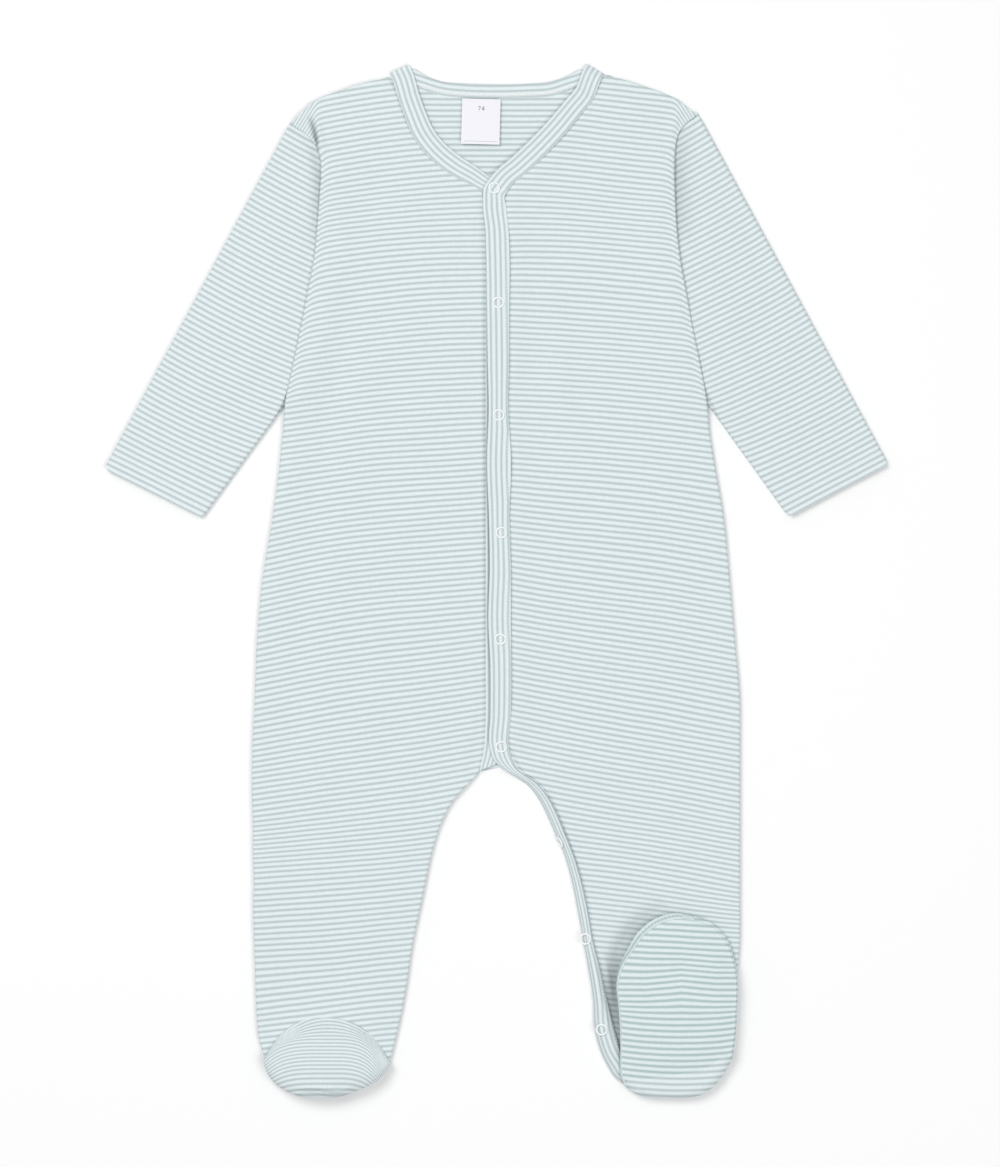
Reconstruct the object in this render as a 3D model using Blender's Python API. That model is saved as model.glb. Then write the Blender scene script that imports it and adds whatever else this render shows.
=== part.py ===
"""Footed baby sleepsuit in fine striped jersey, fastened down the front and one leg, laid flat on its back.

Metres, +Z up. The suit lies on the plane z = 0 with its neck towards +Y and its front facing +Z. "Right"
and "left" in the names are the wearer's, so the right side of the suit is at -X. All sizes below are in
millimetres, and MM turns them into metres at the very end.
"""

import math
from types import SimpleNamespace

import bmesh
import bpy
from mathutils import Vector

MM = 0.001

# The middle of the finished suit in the drawing's own coordinates: it becomes the origin.
MIDDLE = Vector((0.2, 0.5, 0.0))

# Cloth.
WALL = 1.2           # one layer of jersey
BAND = 1.6           # a placket or neck band is folded double
GAP = 0.3            # between pieces that are sewn or lie together
ROLL = 1.5           # outer radius of a rolled or folded edge
ROLL_STEPS = 4
SECOND = WALL + GAP  # underside of what lies on the back panel
SLEEVE_END = 2.8     # height of a sleeve where the body is folded over it
FOLD_TOP = SLEEVE_END + GAP + 2 * ROLL
SEAM_TOP = SECOND + 2 * ROLL
MIDDLE_TOP = 3.0     # a front panel, away from its edges

# Snap rings.
SNAP_OUTER = 3.75
SNAP_INNER = 2.45
SNAP_THICK = 0.8
SNAP_LIFT = 0.45
SNAP_SIDES = 14

# Feet.
HEEL_ROLL = 5.5      # outer radius of the cloth that turns up round the folded foot's heel
SOLE_TOP = 2 * HEEL_ROLL
SOLE_CROWN = 2.2
SOLE_MIDDLE = (-106.8, -271.8)
SOLE_HALF_WIDTH = 36.4
SOLE_HALF_LENGTH = 48.8
SOLE_POWER = 2.5
TOE_HEIGHT = 18.5

STRIPED = (0.74, 0.83, 0.84, 1.0)
BINDING = (0.78, 0.86, 0.87, 1.0)
WHITE = (0.93, 0.93, 0.93, 1.0)


def table(columns, rows):
    """A list of rows whose values are read by the column's name."""
    names = columns.split()
    return [SimpleNamespace(**dict(zip(names, row))) for row in rows]


# Each front panel, from the shoulder to the ankle. A row is one section, from its inner end at the neck,
# placket or inner leg to its outer end at the shoulder, armhole or side seam. Turns are in degrees: 180 is
# a full fold, and tuck is how far the cloth runs back under it. bow lifts the middle of a row towards the
# neck, and the last three columns are the height of the cloth's face at both ends and between them.
FRONT_COLUMNS = "ix iy ox oy bow inner_turn outer_turn tuck inner_top outer_top middle_top"
FRONT_RIGHT = table(FRONT_COLUMNS, [
    (-68.6, 316.6, -118.0, 300.4, 2.0, 20, 20, 0.3, 3.4, 3.0, 3.2),
    (-67.0, 310.4, -124.0, 294.4, 1.0, 20, 20, 0.3, 3.4, 3.0, 3.4),
    (-63.8, 303.8, -128.2, 288.6, 0.0, 20, 20, 0.3, 3.4, 3.0, 3.4),
    (-60.8, 296.6, -121.1, 283.0, 0.0, 20, 20, 0.3, 3.4, 3.1, 3.4),
    (-57.5, 288.6, -115.4, 276.9, 0.0, 20, 25, 0.3, 3.4, 3.4, 3.4),
    (-53.5, 280.0, -111.4, 268.2, 0.0, 20, 90, 0.3, 3.4, 5.0, 3.3),
    (-47.8, 269.2, -110.6, 257.5, 0.0, 20, 180, 2.4, 3.4, FOLD_TOP, 3.2),
    (-38.9, 260.0, -111.2, 247.0, 0.0, 20, 180, 5.0, 3.4, FOLD_TOP, 3.1),
    (-26.2, 252.0, -112.0, 236.0, 0.0, 20, 180, 7.0, 3.3, FOLD_TOP, 3.0),
    (-9.4, 244.6, -113.2, 222.0, 0.0, 20, 180, 9.4, 3.2, FOLD_TOP, 3.0),
    (-8.6, 224.0, -114.8, 205.5, 0.0, 20, 180, 10.8, 3.1, FOLD_TOP, 3.0),
    (-7.6, 200.0, -118.4, 185.5, 0.0, 20, 180, 12.2, 3.1, FOLD_TOP, 3.0),
    (-7.5, 170.0, -123.5, 160.0, 0.0, 20, 180, 11.6, 3.1, FOLD_TOP, 3.0),
    (-7.5, 140.0, -128.9, 134.0, 0.0, 20, 180, 8.2, 3.1, FOLD_TOP, 3.0),
    (-7.5, 114.0, -133.4, 111.5, 0.0, 20, 180, 2.0, 3.1, 5.9, 3.0),
    (-7.5, 97.0, -134.4, 98.0, 0.0, 20, 180, 0.8, 3.1, SEAM_TOP, 3.0),
    (-7.5, 76.7, -136.4, 76.7, 0.0, 20, 180, 0.8, 3.1, SEAM_TOP, 3.0),
    (-7.5, 40.0, -141.2, 40.0, 0.0, 20, 180, 0.8, 3.1, SEAM_TOP, 3.0),
    (-7.5, 0.0, -147.7, 0.0, 0.0, 20, 180, 0.8, 3.1, SEAM_TOP, 3.0),
    (-7.5, -37.0, -150.9, -37.0, 0.0, 20, 180, 0.8, 3.1, SEAM_TOP, 3.0),
    (-7.5, -75.0, -152.4, -75.0, 0.0, 20, 180, 0.8, 3.1, SEAM_TOP, 3.0),
    (-8.3, -104.0, -153.8, -104.0, 0.0, 20, 180, 0.8, 3.1, SEAM_TOP, 3.0),
    (-11.2, -119.8, -154.0, -122.0, 0.0, 90, 180, 0.8, 3.4, SEAM_TOP, 3.0),
    (-17.2, -126.6, -154.0, -134.0, 0.0, 180, 180, 0.8, SEAM_TOP, SEAM_TOP, 3.0),
    (-27.0, -137.5, -153.7, -146.0, 0.0, 180, 180, 0.8, SEAM_TOP, SEAM_TOP, 3.0),
    (-34.0, -150.0, -153.4, -157.0, 0.0, 180, 180, 0.8, SEAM_TOP, SEAM_TOP, 3.0),
    (-39.5, -166.0, -153.4, -170.0, 0.0, 180, 180, 0.8, SEAM_TOP, SEAM_TOP, 3.0),
    (-44.4, -188.0, -152.9, -189.0, 0.0, 180, 180, 0.8, SEAM_TOP, SEAM_TOP, 3.0),
    (-48.6, -208.0, -153.3, -208.0, 0.0, 180, 180, 0.8, SEAM_TOP, SEAM_TOP, 3.0),
    (-53.0, -229.0, -152.6, -229.0, 0.0, 180, 180, 0.8, SEAM_TOP, SEAM_TOP, 3.1),
    (-56.0, -250.0, -152.0, -250.0, 0.0, 180, 180, 0.8, SEAM_TOP, SEAM_TOP, 3.4),
    (-60.0, -272.0, -151.2, -271.5, 9.5, 180, 180, 0.8, SEAM_TOP, SEAM_TOP, 4.6),
    (-63.6, -288.0, -149.8, -287.5, 18.0, 180, 180, 0.8, SEAM_TOP, SEAM_TOP, 6.0),
    (-67.0, -301.4, -146.4, -299.4, 24.8, 180, 180, 0.8, SEAM_TOP, SEAM_TOP, 7.2),
])
FRONT_LEFT = table(FRONT_COLUMNS, [
    (69.0, 318.2, 116.0, 302.2, 1.5, 20, 20, 0.3, 3.4, 3.0, 3.2),
    (66.6, 314.2, 121.4, 298.0, 1.0, 20, 20, 0.3, 3.4, 3.0, 3.4),
    (62.6, 310.2, 125.2, 293.9, 0.0, 20, 20, 0.3, 3.4, 3.0, 3.4),
    (58.9, 305.0, 120.2, 289.6, 0.0, 20, 20, 0.3, 3.4, 3.1, 3.4),
    (54.3, 299.2, 115.4, 283.8, 0.0, 20, 25, 0.3, 3.5, 3.4, 3.4),
    (46.8, 290.4, 112.8, 273.2, 0.0, 20, 90, 0.3, 3.6, 5.0, 3.3),
    (39.2, 282.0, 112.2, 262.0, 0.0, 20, 180, 2.4, 3.7, FOLD_TOP, 3.2),
    (31.2, 273.2, 112.3, 249.5, 0.0, 20, 180, 5.0, 3.9, FOLD_TOP, 3.1),
    (20.8, 262.0, 112.8, 237.0, 0.0, 20, 180, 7.0, 4.2, FOLD_TOP, 3.0),
    (10.6, 251.2, 113.6, 223.0, 0.0, 20, 180, 8.8, 4.6, FOLD_TOP, 3.0),
    (6.8, 241.4, 115.3, 207.0, 0.0, 20, 180, 10.6, 4.7, FOLD_TOP, 3.0),
    (8.9, 212.0, 119.0, 186.0, 0.0, 20, 180, 12.2, 4.7, FOLD_TOP, 3.0),
    (8.8, 171.0, 123.7, 160.0, 0.0, 20, 180, 11.6, 4.7, FOLD_TOP, 3.0),
    (8.6, 140.0, 129.0, 134.0, 0.0, 20, 180, 8.2, 4.7, FOLD_TOP, 3.0),
    (8.2, 112.0, 132.8, 111.5, 0.0, 20, 180, 2.0, 4.7, 5.9, 3.0),
    (8.6, 97.0, 133.9, 98.0, 0.0, 20, 180, 0.8, 4.7, SEAM_TOP, 3.0),
    (9.9, 76.7, 137.0, 76.7, 0.0, 20, 180, 0.8, 4.7, SEAM_TOP, 3.0),
    (8.8, 40.0, 143.2, 40.0, 0.0, 20, 180, 0.8, 4.7, SEAM_TOP, 3.0),
    (9.8, 5.0, 147.0, 0.0, 0.0, 20, 180, 0.8, 4.7, SEAM_TOP, 3.0),
    (9.8, -30.0, 150.2, -37.0, 0.0, 20, 180, 0.8, 4.7, SEAM_TOP, 3.0),
    (9.9, -75.0, 153.3, -75.0, 0.0, 20, 180, 0.8, 4.7, SEAM_TOP, 3.0),
    (8.4, -103.0, 153.4, -104.0, 0.0, 20, 180, 0.8, 4.7, SEAM_TOP, 3.0),
    (16.8, -120.2, 153.4, -122.0, 0.0, 20, 180, 0.8, 4.4, SEAM_TOP, 3.0),
    (24.2, -125.0, 153.4, -134.0, 0.0, 20, 180, 0.8, 4.0, SEAM_TOP, 3.0),
    (32.0, -133.4, 153.4, -146.0, 0.0, 20, 180, 0.8, 3.7, SEAM_TOP, 3.0),
    (38.3, -144.8, 153.4, -157.0, 0.0, 20, 180, 0.8, 3.5, SEAM_TOP, 3.0),
    (43.5, -157.5, 153.4, -168.0, 0.0, 20, 180, 0.8, 3.4, SEAM_TOP, 3.0),
    (49.6, -173.4, 153.4, -182.0, 0.0, 20, 180, 0.8, 3.3, SEAM_TOP, 3.0),
    (57.6, -202.2, 153.4, -204.0, 0.0, 20, 180, 0.8, 3.3, SEAM_TOP, 3.0),
    (60.6, -222.6, 153.4, -223.0, 0.0, 20, 180, 0.8, 3.3, SEAM_TOP, 3.0),
    (65.9, -243.2, 152.2, -243.0, 0.0, 20, 180, 0.8, 3.3, SEAM_TOP, 3.0),
    (70.9, -266.5, 151.3, -266.0, 0.0, 20, 180, 0.8, 3.2, SEAM_TOP, 3.0),
    (76.4, -287.5, 150.2, -287.5, 0.0, 20, 180, 0.8, 3.0, SEAM_TOP, 3.0),
])
FRONT_ACROSS = (0.07, 0.16, 0.3, 0.5, 0.7, 0.84, 0.92)
OUTER_FALL = 15.0    # within about this distance the cloth falls from an edge's height to the panel's
INNER_FALL = 9.0
EDGE_TUCK = 0.5

# A sleeve's armhole end, from the shoulder tip down to the armpit, and the part of each sleeve that the
# folded body covers there. The cuff is a straight line from the first point to the second.
SLEEVE_COLUMNS = "x y cover"
SLEEVE_RIGHT = table(SLEEVE_COLUMNS, [
    (-130.6, 288.2, 0.0), (-121.6, 282.6, 0.0), (-113.4, 271.9, 0.0), (-108.2, 258.0, 3.0),
    (-104.7, 240.0, 7.0), (-103.4, 220.0, 10.5), (-103.5, 200.0, 12.5), (-106.0, 180.0, 13.5),
    (-111.0, 160.0, 13.0), (-117.2, 142.0, 12.0), (-122.5, 126.4, 22.0),
])
SLEEVE_LEFT = table(SLEEVE_COLUMNS, [
    (128.0, 293.6, 0.0), (121.6, 289.8, 0.0), (115.4, 279.0, 0.0), (110.9, 265.0, 3.0),
    (106.9, 246.0, 7.0), (104.4, 226.0, 10.5), (103.9, 204.0, 12.5), (106.2, 182.0, 13.5),
    (111.2, 160.0, 13.0), (117.3, 142.0, 12.0), (122.6, 126.4, 22.0),
])
CUFF_RIGHT = ((-246.6, 72.6), (-184.8, 40.2))
CUFF_LEFT = ((247.0, 74.2), (183.6, 40.8))
SLEEVE_STATIONS = (0.0, 0.06, 0.13, 0.22, 0.34, 0.5, 0.66, 0.82, 0.93, 1.0)
SLEEVE_EDGE = 4.4    # height of the folded sleeve along its two long edges
SLEEVE_FACE = 3.7    # and between them
SLEEVE_FLAT = 8.0    # it stays at its end's height this far past the body's fold
SLEEVE_RISE = 22.0   # and then takes this long to rise

# The neck band runs from the front crossing up the left side of the V, folds over the shoulder, passes
# the back of the neck and comes down the right side. n is the edge at the neck, s the edge at the seam.
BAND_COLUMNS = "nx ny sx sy under"
BAND_V_LEFT = table(BAND_COLUMNS, [
    (-2.6, 254.2, 9.4, 250.6, 3.4), (5.6, 264.3, 17.0, 258.8, 3.0), (16.7, 274.5, 28.4, 271.6, 2.6),
    (28.7, 287.7, 40.8, 285.1, 2.4), (40.6, 301.6, 51.6, 297.1, 2.4), (50.1, 311.7, 60.4, 308.2, 2.4),
])
BAND_BACK = table(BAND_COLUMNS, [
    (46.0, 322.0, 58.4, 309.8, 0.0), (35.6, 318.6, 43.0, 306.9, 0.0), (20.0, 315.6, 21.0, 305.3, 0.0),
    (-2.2, 314.4, -2.2, 304.9, 0.0), (-22.0, 315.3, -24.0, 305.4, 0.0), (-39.4, 318.4, -46.0, 306.7, 0.0),
    (-48.6, 321.6, -60.2, 309.3, 0.0),
])
BAND_V_RIGHT = table(BAND_COLUMNS, [
    (-49.5, 309.8, -62.6, 303.4, 2.4), (-42.5, 294.7, -57.0, 289.3, 2.4), (-31.5, 279.0, -47.4, 269.6, 2.4),
    (-19.2, 267.0, -34.6, 257.8, 2.3), (-8.6, 259.2, -20.4, 250.2, 1.9),
    (-3.5, 255.4, -12.4, 246.4, SECOND), (0.8, 252.4, -6.4, 244.2, SECOND),
])
SHOULDER_FOLD_LEFT = ((57.0, 326.2), (69.2, 319.4))
SHOULDER_FOLD_RIGHT = ((-55.1, 324.9), (-68.4, 317.6))
SHOULDER_ROLL = 2.0

# The buttoned band that lies on top, down the front and on along the inner edge of the left leg: its two
# edges, and the height of its underside at each.
PLACKET_COLUMNS = "lx ly rx ry left_under right_under"
PLACKET_TOP = table(PLACKET_COLUMNS, [
    (-2.9, 253.8, 9.1, 250.1, 3.4, 3.4), (-7.4, 249.0, 5.8, 243.1, 3.4, 3.4),
    (-8.1, 240.0, 6.4, 238.0, 3.4, 3.4), (-7.0, 222.0, 7.8, 221.0, 3.4, 3.4),
    (-6.5, 205.0, 8.4, 205.0, 3.4, 3.4), (-6.0, 172.0, 8.2, 172.0, 3.4, 3.4),
    (-5.6, 140.0, 8.1, 140.0, 3.4, 3.4), (-5.0, 109.0, 7.6, 109.0, 3.4, 3.4),
    (-6.0, 76.0, 9.4, 76.0, 3.4, 3.4), (-4.8, 40.0, 8.3, 40.0, 3.4, 3.4),
    (-4.3, 8.0, 9.3, 8.0, 3.4, 3.4), (-5.2, -24.0, 9.2, -24.0, 3.4, 3.4),
    (-3.9, -53.0, 9.5, -53.0, 3.4, 3.4), (-3.9, -85.0, 9.1, -85.0, 3.4, 3.4),
    (-4.4, -103.0, 7.8, -103.0, 3.4, 3.4), (-1.4, -112.6, 9.8, -111.8, 3.4, 3.4),
    (4.2, -118.0, 12.4, -117.2, 3.2, 3.4), (12.0, -123.0, 17.2, -121.4, 2.9, 3.2),
    (19.2, -128.0, 24.2, -125.8, 2.6, 3.0), (25.6, -135.6, 31.4, -133.9, 2.3, 2.8),
    (31.6, -146.8, 37.7, -145.2, 2.0, 2.7), (36.4, -157.7, 42.9, -157.7, 1.8, 2.9),
    (41.2, -168.0, 49.0, -173.2, 1.7, 2.6), (47.2, -188.0, 54.0, -190.2, 1.7, 2.2),
    (51.4, -209.0, 58.2, -209.6, 1.7, 1.9), (54.6, -226.0, 61.0, -226.0, 1.7, 1.9),
    (57.6, -243.3, 65.3, -243.3, 1.7, 1.9), (60.6, -263.0, 69.6, -263.4, 1.7, 1.9),
    (62.0, -284.3, 74.8, -283.6, 1.7, 1.9), (66.6, -300.0, 76.6, -296.0, 1.7, 1.9),
    (71.6, -309.0, 76.8, -304.6, 1.7, 1.9),
])
# The band under it, on the right front: it ends at the crotch.
PLACKET_UNDER = table(PLACKET_COLUMNS, [
    (-8.0, 241.6, 5.4, 240.6, SECOND, SECOND), (-7.0, 205.0, 6.6, 205.0, SECOND, SECOND),
    (-7.2, 140.0, 6.4, 140.0, SECOND, SECOND), (-7.2, 76.0, 6.6, 76.0, SECOND, SECOND),
    (-7.2, 8.0, 6.8, 8.0, SECOND, SECOND), (-7.2, -53.0, 6.8, -53.0, SECOND, SECOND),
    (-7.3, -90.0, 6.4, -90.0, SECOND, SECOND), (-8.4, -107.0, 4.6, -104.0, SECOND, SECOND),
    (-10.8, -119.2, 0.4, -114.6, SECOND, SECOND),
])

# Where the rings sit: row of the band's table, the share of the way to the next row, and how far the ring
# is tipped. The first one on the leg is tipped right over, at the band's free edge.
SNAPS = table("name row share tip", [
    ("snap_front_1", 0, 0.75, 0), ("snap_front_2", 5, -0.15, 0), ("snap_front_3", 7, 0.12, 0),
    ("snap_front_4", 9, 0.28, 0), ("snap_front_5", 11, 0.40, 0), ("snap_front_6", 14, 0.10, 0),
    ("snap_leg_1", 22, -0.15, 75), ("snap_leg_2", 25, 0.05, 0), ("snap_leg_3", 28, -0.10, 0),
])
SNAP_TIPPED = 4.0    # height of a tipped ring's middle

# The back panel's outline where it follows nothing else: neck, shoulders and armholes.
BACK_NECK = [
    (70.2, 318.0), (58.6, 309.0), (43.2, 306.2), (21.2, 304.7), (-2.0, 304.4),
    (-24.2, 304.8), (-46.4, 306.0), (-60.6, 308.6), (-69.4, 316.6),
]
BACK_SHOULDER_LEFT = [(120.8, 298.2), (115.6, 302.0), (102.5, 307.4), (86.5, 312.6)]
BACK_SHOULDER_RIGHT = [(-88.0, 311.6), (-105.0, 305.6), (-117.6, 300.2), (-123.4, 294.2)]
BACK_TIP_LEFT = (125.0, 293.9)
BACK_TIP_RIGHT = (-127.6, 288.9)
BACK_ARMPIT_LEFT = (132.8, 109.0)
BACK_ARMPIT_RIGHT = (-133.4, 109.0)
ARMPIT = 105.0       # below this a front panel's outer edge is the side seam
BACK_INSET = 0.6     # the back panel stops this far inside the pieces rolled or sewn along its edge
SEAM_GAP = 0.5       # and this far outside the flat foot's sole
BACK_INNER_LEG_LEFT = [
    (4.6, -118.4), (12.4, -123.0), (19.8, -128.4), (26.2, -136.0), (32.2, -147.0), (37.0, -158.0),
    (41.8, -168.4), (47.8, -188.4), (52.0, -209.4), (55.2, -226.4), (58.2, -243.5), (61.2, -263.0),
    (62.6, -284.3), (67.2, -300.0), (73.6, -311.4),
]
CROTCH = (1.6, -116.6)

# The cloth of the left leg's back turns up round the heel of the folded foot: a point on the fold line,
# the way that the fold faces, and how far the cloth runs on over the top to the heel seam.
HEEL_WRAP = table("x y facing run", [
    (79.6, -316.4, 231, 0.6), (87.0, -322.2, 248, 3.4), (97.0, -324.6, 262, 6.6),
    (108.0, -325.2, 268, 8.8), (118.0, -325.2, 272, 10.0), (128.0, -323.4, 286, 9.4),
    (136.4, -318.2, 306, 7.4), (143.0, -310.4, 326, 4.2), (148.0, -300.6, 342, 1.2),
    (150.0, -292.6, 356, 0.6),
])

# The folded foot's outline, from the inner ankle round the toe to the outer ankle, and how far the sole's
# seam lies inside it.
FOLDED_FOOT = table("x y rim", [
    (77.8, -306.0, 1.2), (77.8, -294.0, 1.2), (77.4, -280.0, 1.2), (76.4, -266.0, 1.2),
    (75.3, -253.0, 1.4), (77.2, -242.6, 2.4), (82.6, -231.4, 3.6), (89.7, -220.0, 4.2),
    (100.2, -212.0, 4.2), (112.0, -208.7, 3.8), (124.4, -210.6, 3.2), (137.0, -215.6, 2.4),
    (145.0, -224.4, 1.8), (149.8, -238.0, 1.4), (152.0, -252.0, 1.2), (151.6, -268.0, 1.2),
    (150.8, -282.0, 1.2), (149.6, -291.0, 1.2),
])
FOOT_SPINE_X = 114.0
FOOT_SPINE_ENDS = (-286.0, -236.0)
FOOT_FLOOR = SEAM_TOP + GAP     # underside of the folded foot, which lies on the leg
FOOT_RIM = SOLE_TOP - WALL - GAP

# The flat foot's toe piece, from its outer to its inner end: the furthest it reaches, and the angle on
# the oval sole where it is sewn down.
TOE = table("x y angle", [
    (-146.4, -303.0, 207), (-144.6, -308.4, 217), (-141.2, -313.6, 228), (-135.6, -318.6, 239),
    (-128.2, -322.4, 248), (-119.0, -324.6, 258), (-109.0, -325.2, 267), (-99.0, -324.2, 276),
    (-89.6, -321.2, 286), (-80.6, -317.4, 297), (-73.6, -312.8, 310), (-69.0, -307.2, 322),
    (-66.6, -303.0, 333),
])
TOE_ARC = ((-146.2, -300.0), (-67.2, -302.0), 24.8)

LABEL_TOP = (-21.9, 303.8)
LABEL_SIZE = (24.2, 28.6)
LABEL_TILT = -1.5
LABEL_THICK = 1.0


def clear_scene():
    for old in list(bpy.data.objects):
        bpy.data.objects.remove(old, do_unlink=True)


def material(name, colour, roughness):
    made = bpy.data.materials.new(name)
    made.use_nodes = True
    shader = made.node_tree.nodes["Principled BSDF"]
    shader.inputs["Base Color"].default_value = colour
    shader.inputs["Roughness"].default_value = roughness
    shader.inputs["Metallic"].default_value = 0.0
    return made


def mix(a, b, share):
    return a + (b - a) * share


def flat(point, height=0.0):
    return Vector((point[0], point[1], height))


def make_object(name, points, faces, finish):
    """A mesh object from points in millimetres, its faces turned outwards."""
    mesh = bpy.data.meshes.new(name)
    mesh.from_pydata([(p - MIDDLE) * MM for p in points], [], faces)
    shape = bmesh.new()
    shape.from_mesh(mesh)
    bmesh.ops.remove_doubles(shape, verts=shape.verts, dist=0.001 * MM)
    bmesh.ops.dissolve_degenerate(shape, edges=shape.edges, dist=0.001 * MM)
    if shape.calc_volume(signed=True) < 0:
        bmesh.ops.reverse_faces(shape, faces=shape.faces)
    shape.to_mesh(mesh)
    shape.free()
    mesh.materials.append(finish)
    mesh.shade_smooth()
    mesh.set_sharp_from_angle(angle=math.radians(40))
    made = bpy.data.objects.new(name, mesh)
    bpy.context.scene.collection.objects.link(made)
    return made


def cloth(name, pairs, faces, finish):
    """A solid sheet: each pair is a point on its outer and one on its inner face."""
    count = len(pairs)
    points = [outer for outer, _ in pairs] + [inner for _, inner in pairs]
    used = {}
    for face in faces:
        for a, b in zip(face, face[1:] + face[:1]):
            used[(a, b)] = used.get((a, b), 0) + 1
    edges = [(a, b) for (a, b) in used if (b, a) not in used]
    all_faces = list(faces)
    all_faces += [tuple(count + index for index in reversed(face)) for face in faces]
    all_faces += [(b, a, count + a, count + b) for a, b in edges]
    return make_object(name, points, all_faces, finish)


def grid_faces(rows, columns, closed=False, start=0):
    faces = []
    last = columns if closed else columns - 1
    for i in range(rows - 1):
        for j in range(last):
            k = (j + 1) % columns
            faces.append(tuple(start + n for n in (
                i * columns + j, i * columns + k, (i + 1) * columns + k, (i + 1) * columns + j)))
    return faces


def outward(grid, i, j, closed):
    """The direction square to a grid of points at one of them."""
    rows, columns = len(grid), len(grid[0])
    down = grid[min(i + 1, rows - 1)][j] - grid[max(i - 1, 0)][j]
    if closed:
        along = grid[i][(j + 1) % columns] - grid[i][(j - 1) % columns]
    else:
        along = grid[i][min(j + 1, columns - 1)] - grid[i][max(j - 1, 0)]
    return down.cross(along).normalized()


def sheet(name, grid, finish, facing=1, wall=WALL, closed=False):
    """Cloth whose outer face is a grid of points, with its thickness on the side away from facing."""
    pairs = []
    for i, row in enumerate(grid):
        for j, point in enumerate(row):
            pairs.append((point, point - outward(grid, i, j, closed) * facing * wall))
    return cloth(name, pairs, grid_faces(len(grid), len(grid[0]), closed), finish)


def plate(name, outline, low, high, finish):
    """A flat piece cut to an outline."""
    pairs = [(flat(point, high), flat(point, low)) for point in outline]
    return cloth(name, pairs, [tuple(range(len(outline)))], finish)


def rolled_edge(end, way, top, turn, tuck):
    """Points from the face of the cloth round a rolled edge, and on under it.

    end is the furthest point of the edge and way points out of the panel; top is the cloth's height.
    """
    angle = math.radians(turn)
    reach = ROLL if turn >= 90 else ROLL * math.sin(angle) + tuck * math.cos(angle)
    centre = flat(end, top - ROLL) - way * reach
    points = []
    for k in range(ROLL_STEPS + 1):
        a = angle * k / ROLL_STEPS
        points.append(centre + way * ROLL * math.sin(a) + Vector((0, 0, ROLL * math.cos(a))))
    points.append(points[-1] + way * tuck * math.cos(angle) - Vector((0, 0, tuck * math.sin(angle))))
    return points


def front_section(row):
    """One section of a front panel, from the tucked inner edge to the tucked outer edge."""
    inner, outer = flat((row.ix, row.iy)), flat((row.ox, row.oy))
    way = (outer - inner).normalized()
    inner_edge = rolled_edge(inner, -way, row.inner_top, row.inner_turn, EDGE_TUCK)
    outer_edge = rolled_edge(outer, way, row.outer_top, row.outer_turn, row.tuck)
    length = (outer - inner).length
    shelf = row.tuck + ROLL
    run = []
    for share in FRONT_ACROSS:
        from_inner, from_outer = share * length, (1 - share) * length
        near_outer = 1.0 / (1.0 + (max(from_outer - shelf, 0.0) / OUTER_FALL) ** 2)
        near_inner = 1.0 / (1.0 + (from_inner / INNER_FALL) ** 2)
        top = row.middle_top + (row.outer_top - row.middle_top) * near_outer
        top += (row.inner_top - row.middle_top) * near_inner * (1 - near_outer)
        start, stop = inner_edge[0].copy(), outer_edge[0].copy()
        point = mix(start, stop, share)
        point.y += row.bow * 4 * share * (1 - share)
        point.z = top
        run.append(point)
    return list(reversed(inner_edge)) + run + outer_edge


def front(name, rows, facing, finish):
    return sheet(name, [front_section(row) for row in rows], finish, facing)


def sleeve(name, armhole, cuff, facing, finish):
    """A flattened tube, open at the cuff and at the armhole."""
    across = len(armhole) - 1
    cuff_start, cuff_end = flat(cuff[0]), flat(cuff[1])

    def place(share, along):
        at = min(max(share, 0.0), 1.0) * across
        k = min(int(at), across - 1)
        first, second = armhole[k], armhole[k + 1]
        start = mix(flat((first.x, first.y)), flat((second.x, second.y)), at - k)
        cover = mix(first.cover, second.cover, at - k)
        stop = mix(cuff_start, cuff_end, share)
        return mix(start, stop, along), (stop - start).length * along, cover

    def face_height(share, along):
        _, distance, cover = place(share, along)
        full = SLEEVE_FACE + (SLEEVE_EDGE - SLEEVE_FACE) * abs(2 * share - 1) ** 3
        rise = min(max((distance - cover - SLEEVE_FLAT) / SLEEVE_RISE, 0.0), 1.0)
        rise = rise * rise * (3 - 2 * rise)
        return mix(SLEEVE_END, full, rise)

    rings = []
    for along in SLEEVE_STATIONS:
        width = (place(1.0, along)[0] - place(0.0, along)[0]).length
        ring = []
        for side, middle in ((0.0, 0.5), (1.0, 0.5)):
            radius = face_height(side, along) / 2
            edge = place(side, along)[0]
            way = (edge - place(side + (middle - side) * 0.12, along)[0]).normalized()
            centre = edge - way * radius + Vector((0, 0, radius))
            angles = (0, 45, 90, 135, 180) if side == 0.0 else (180, 135, 90, 45, 0)
            for angle in angles:
                a = math.radians(angle)
                ring.append(centre + way * radius * math.sin(a) - Vector((0, 0, radius * math.cos(a))))
            shares = (0.1, 0.22, 0.36, 0.5, 0.64, 0.78, 0.9)
            for share in (shares if side == 0.0 else reversed(shares)):
                point = place(share, along)[0]
                point.z = face_height(share, along) if side == 0.0 else 0.0
                ring.append(point)
        rings.append(ring)
        print(f"{name}: station {along:.2f} is {width:.1f} mm wide")
    return sheet(name, rings, finish, facing, closed=True)


def band_row(row, thickness, crown, facing_up=True):
    """Four pairs of points across a flat stretch of band, its face upwards or downwards."""
    pairs = []
    for share, rise in ((0.0, 0.0), (0.2, crown), (0.8, crown), (1.0, 0.0)):
        point = mix(flat((row.nx, row.ny)), flat((row.sx, row.sy)), share)
        low = point + Vector((0, 0, row.under))
        high = low + Vector((0, 0, thickness + rise))
        pairs.append((high, low) if facing_up else (low, high))
    return pairs


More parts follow.
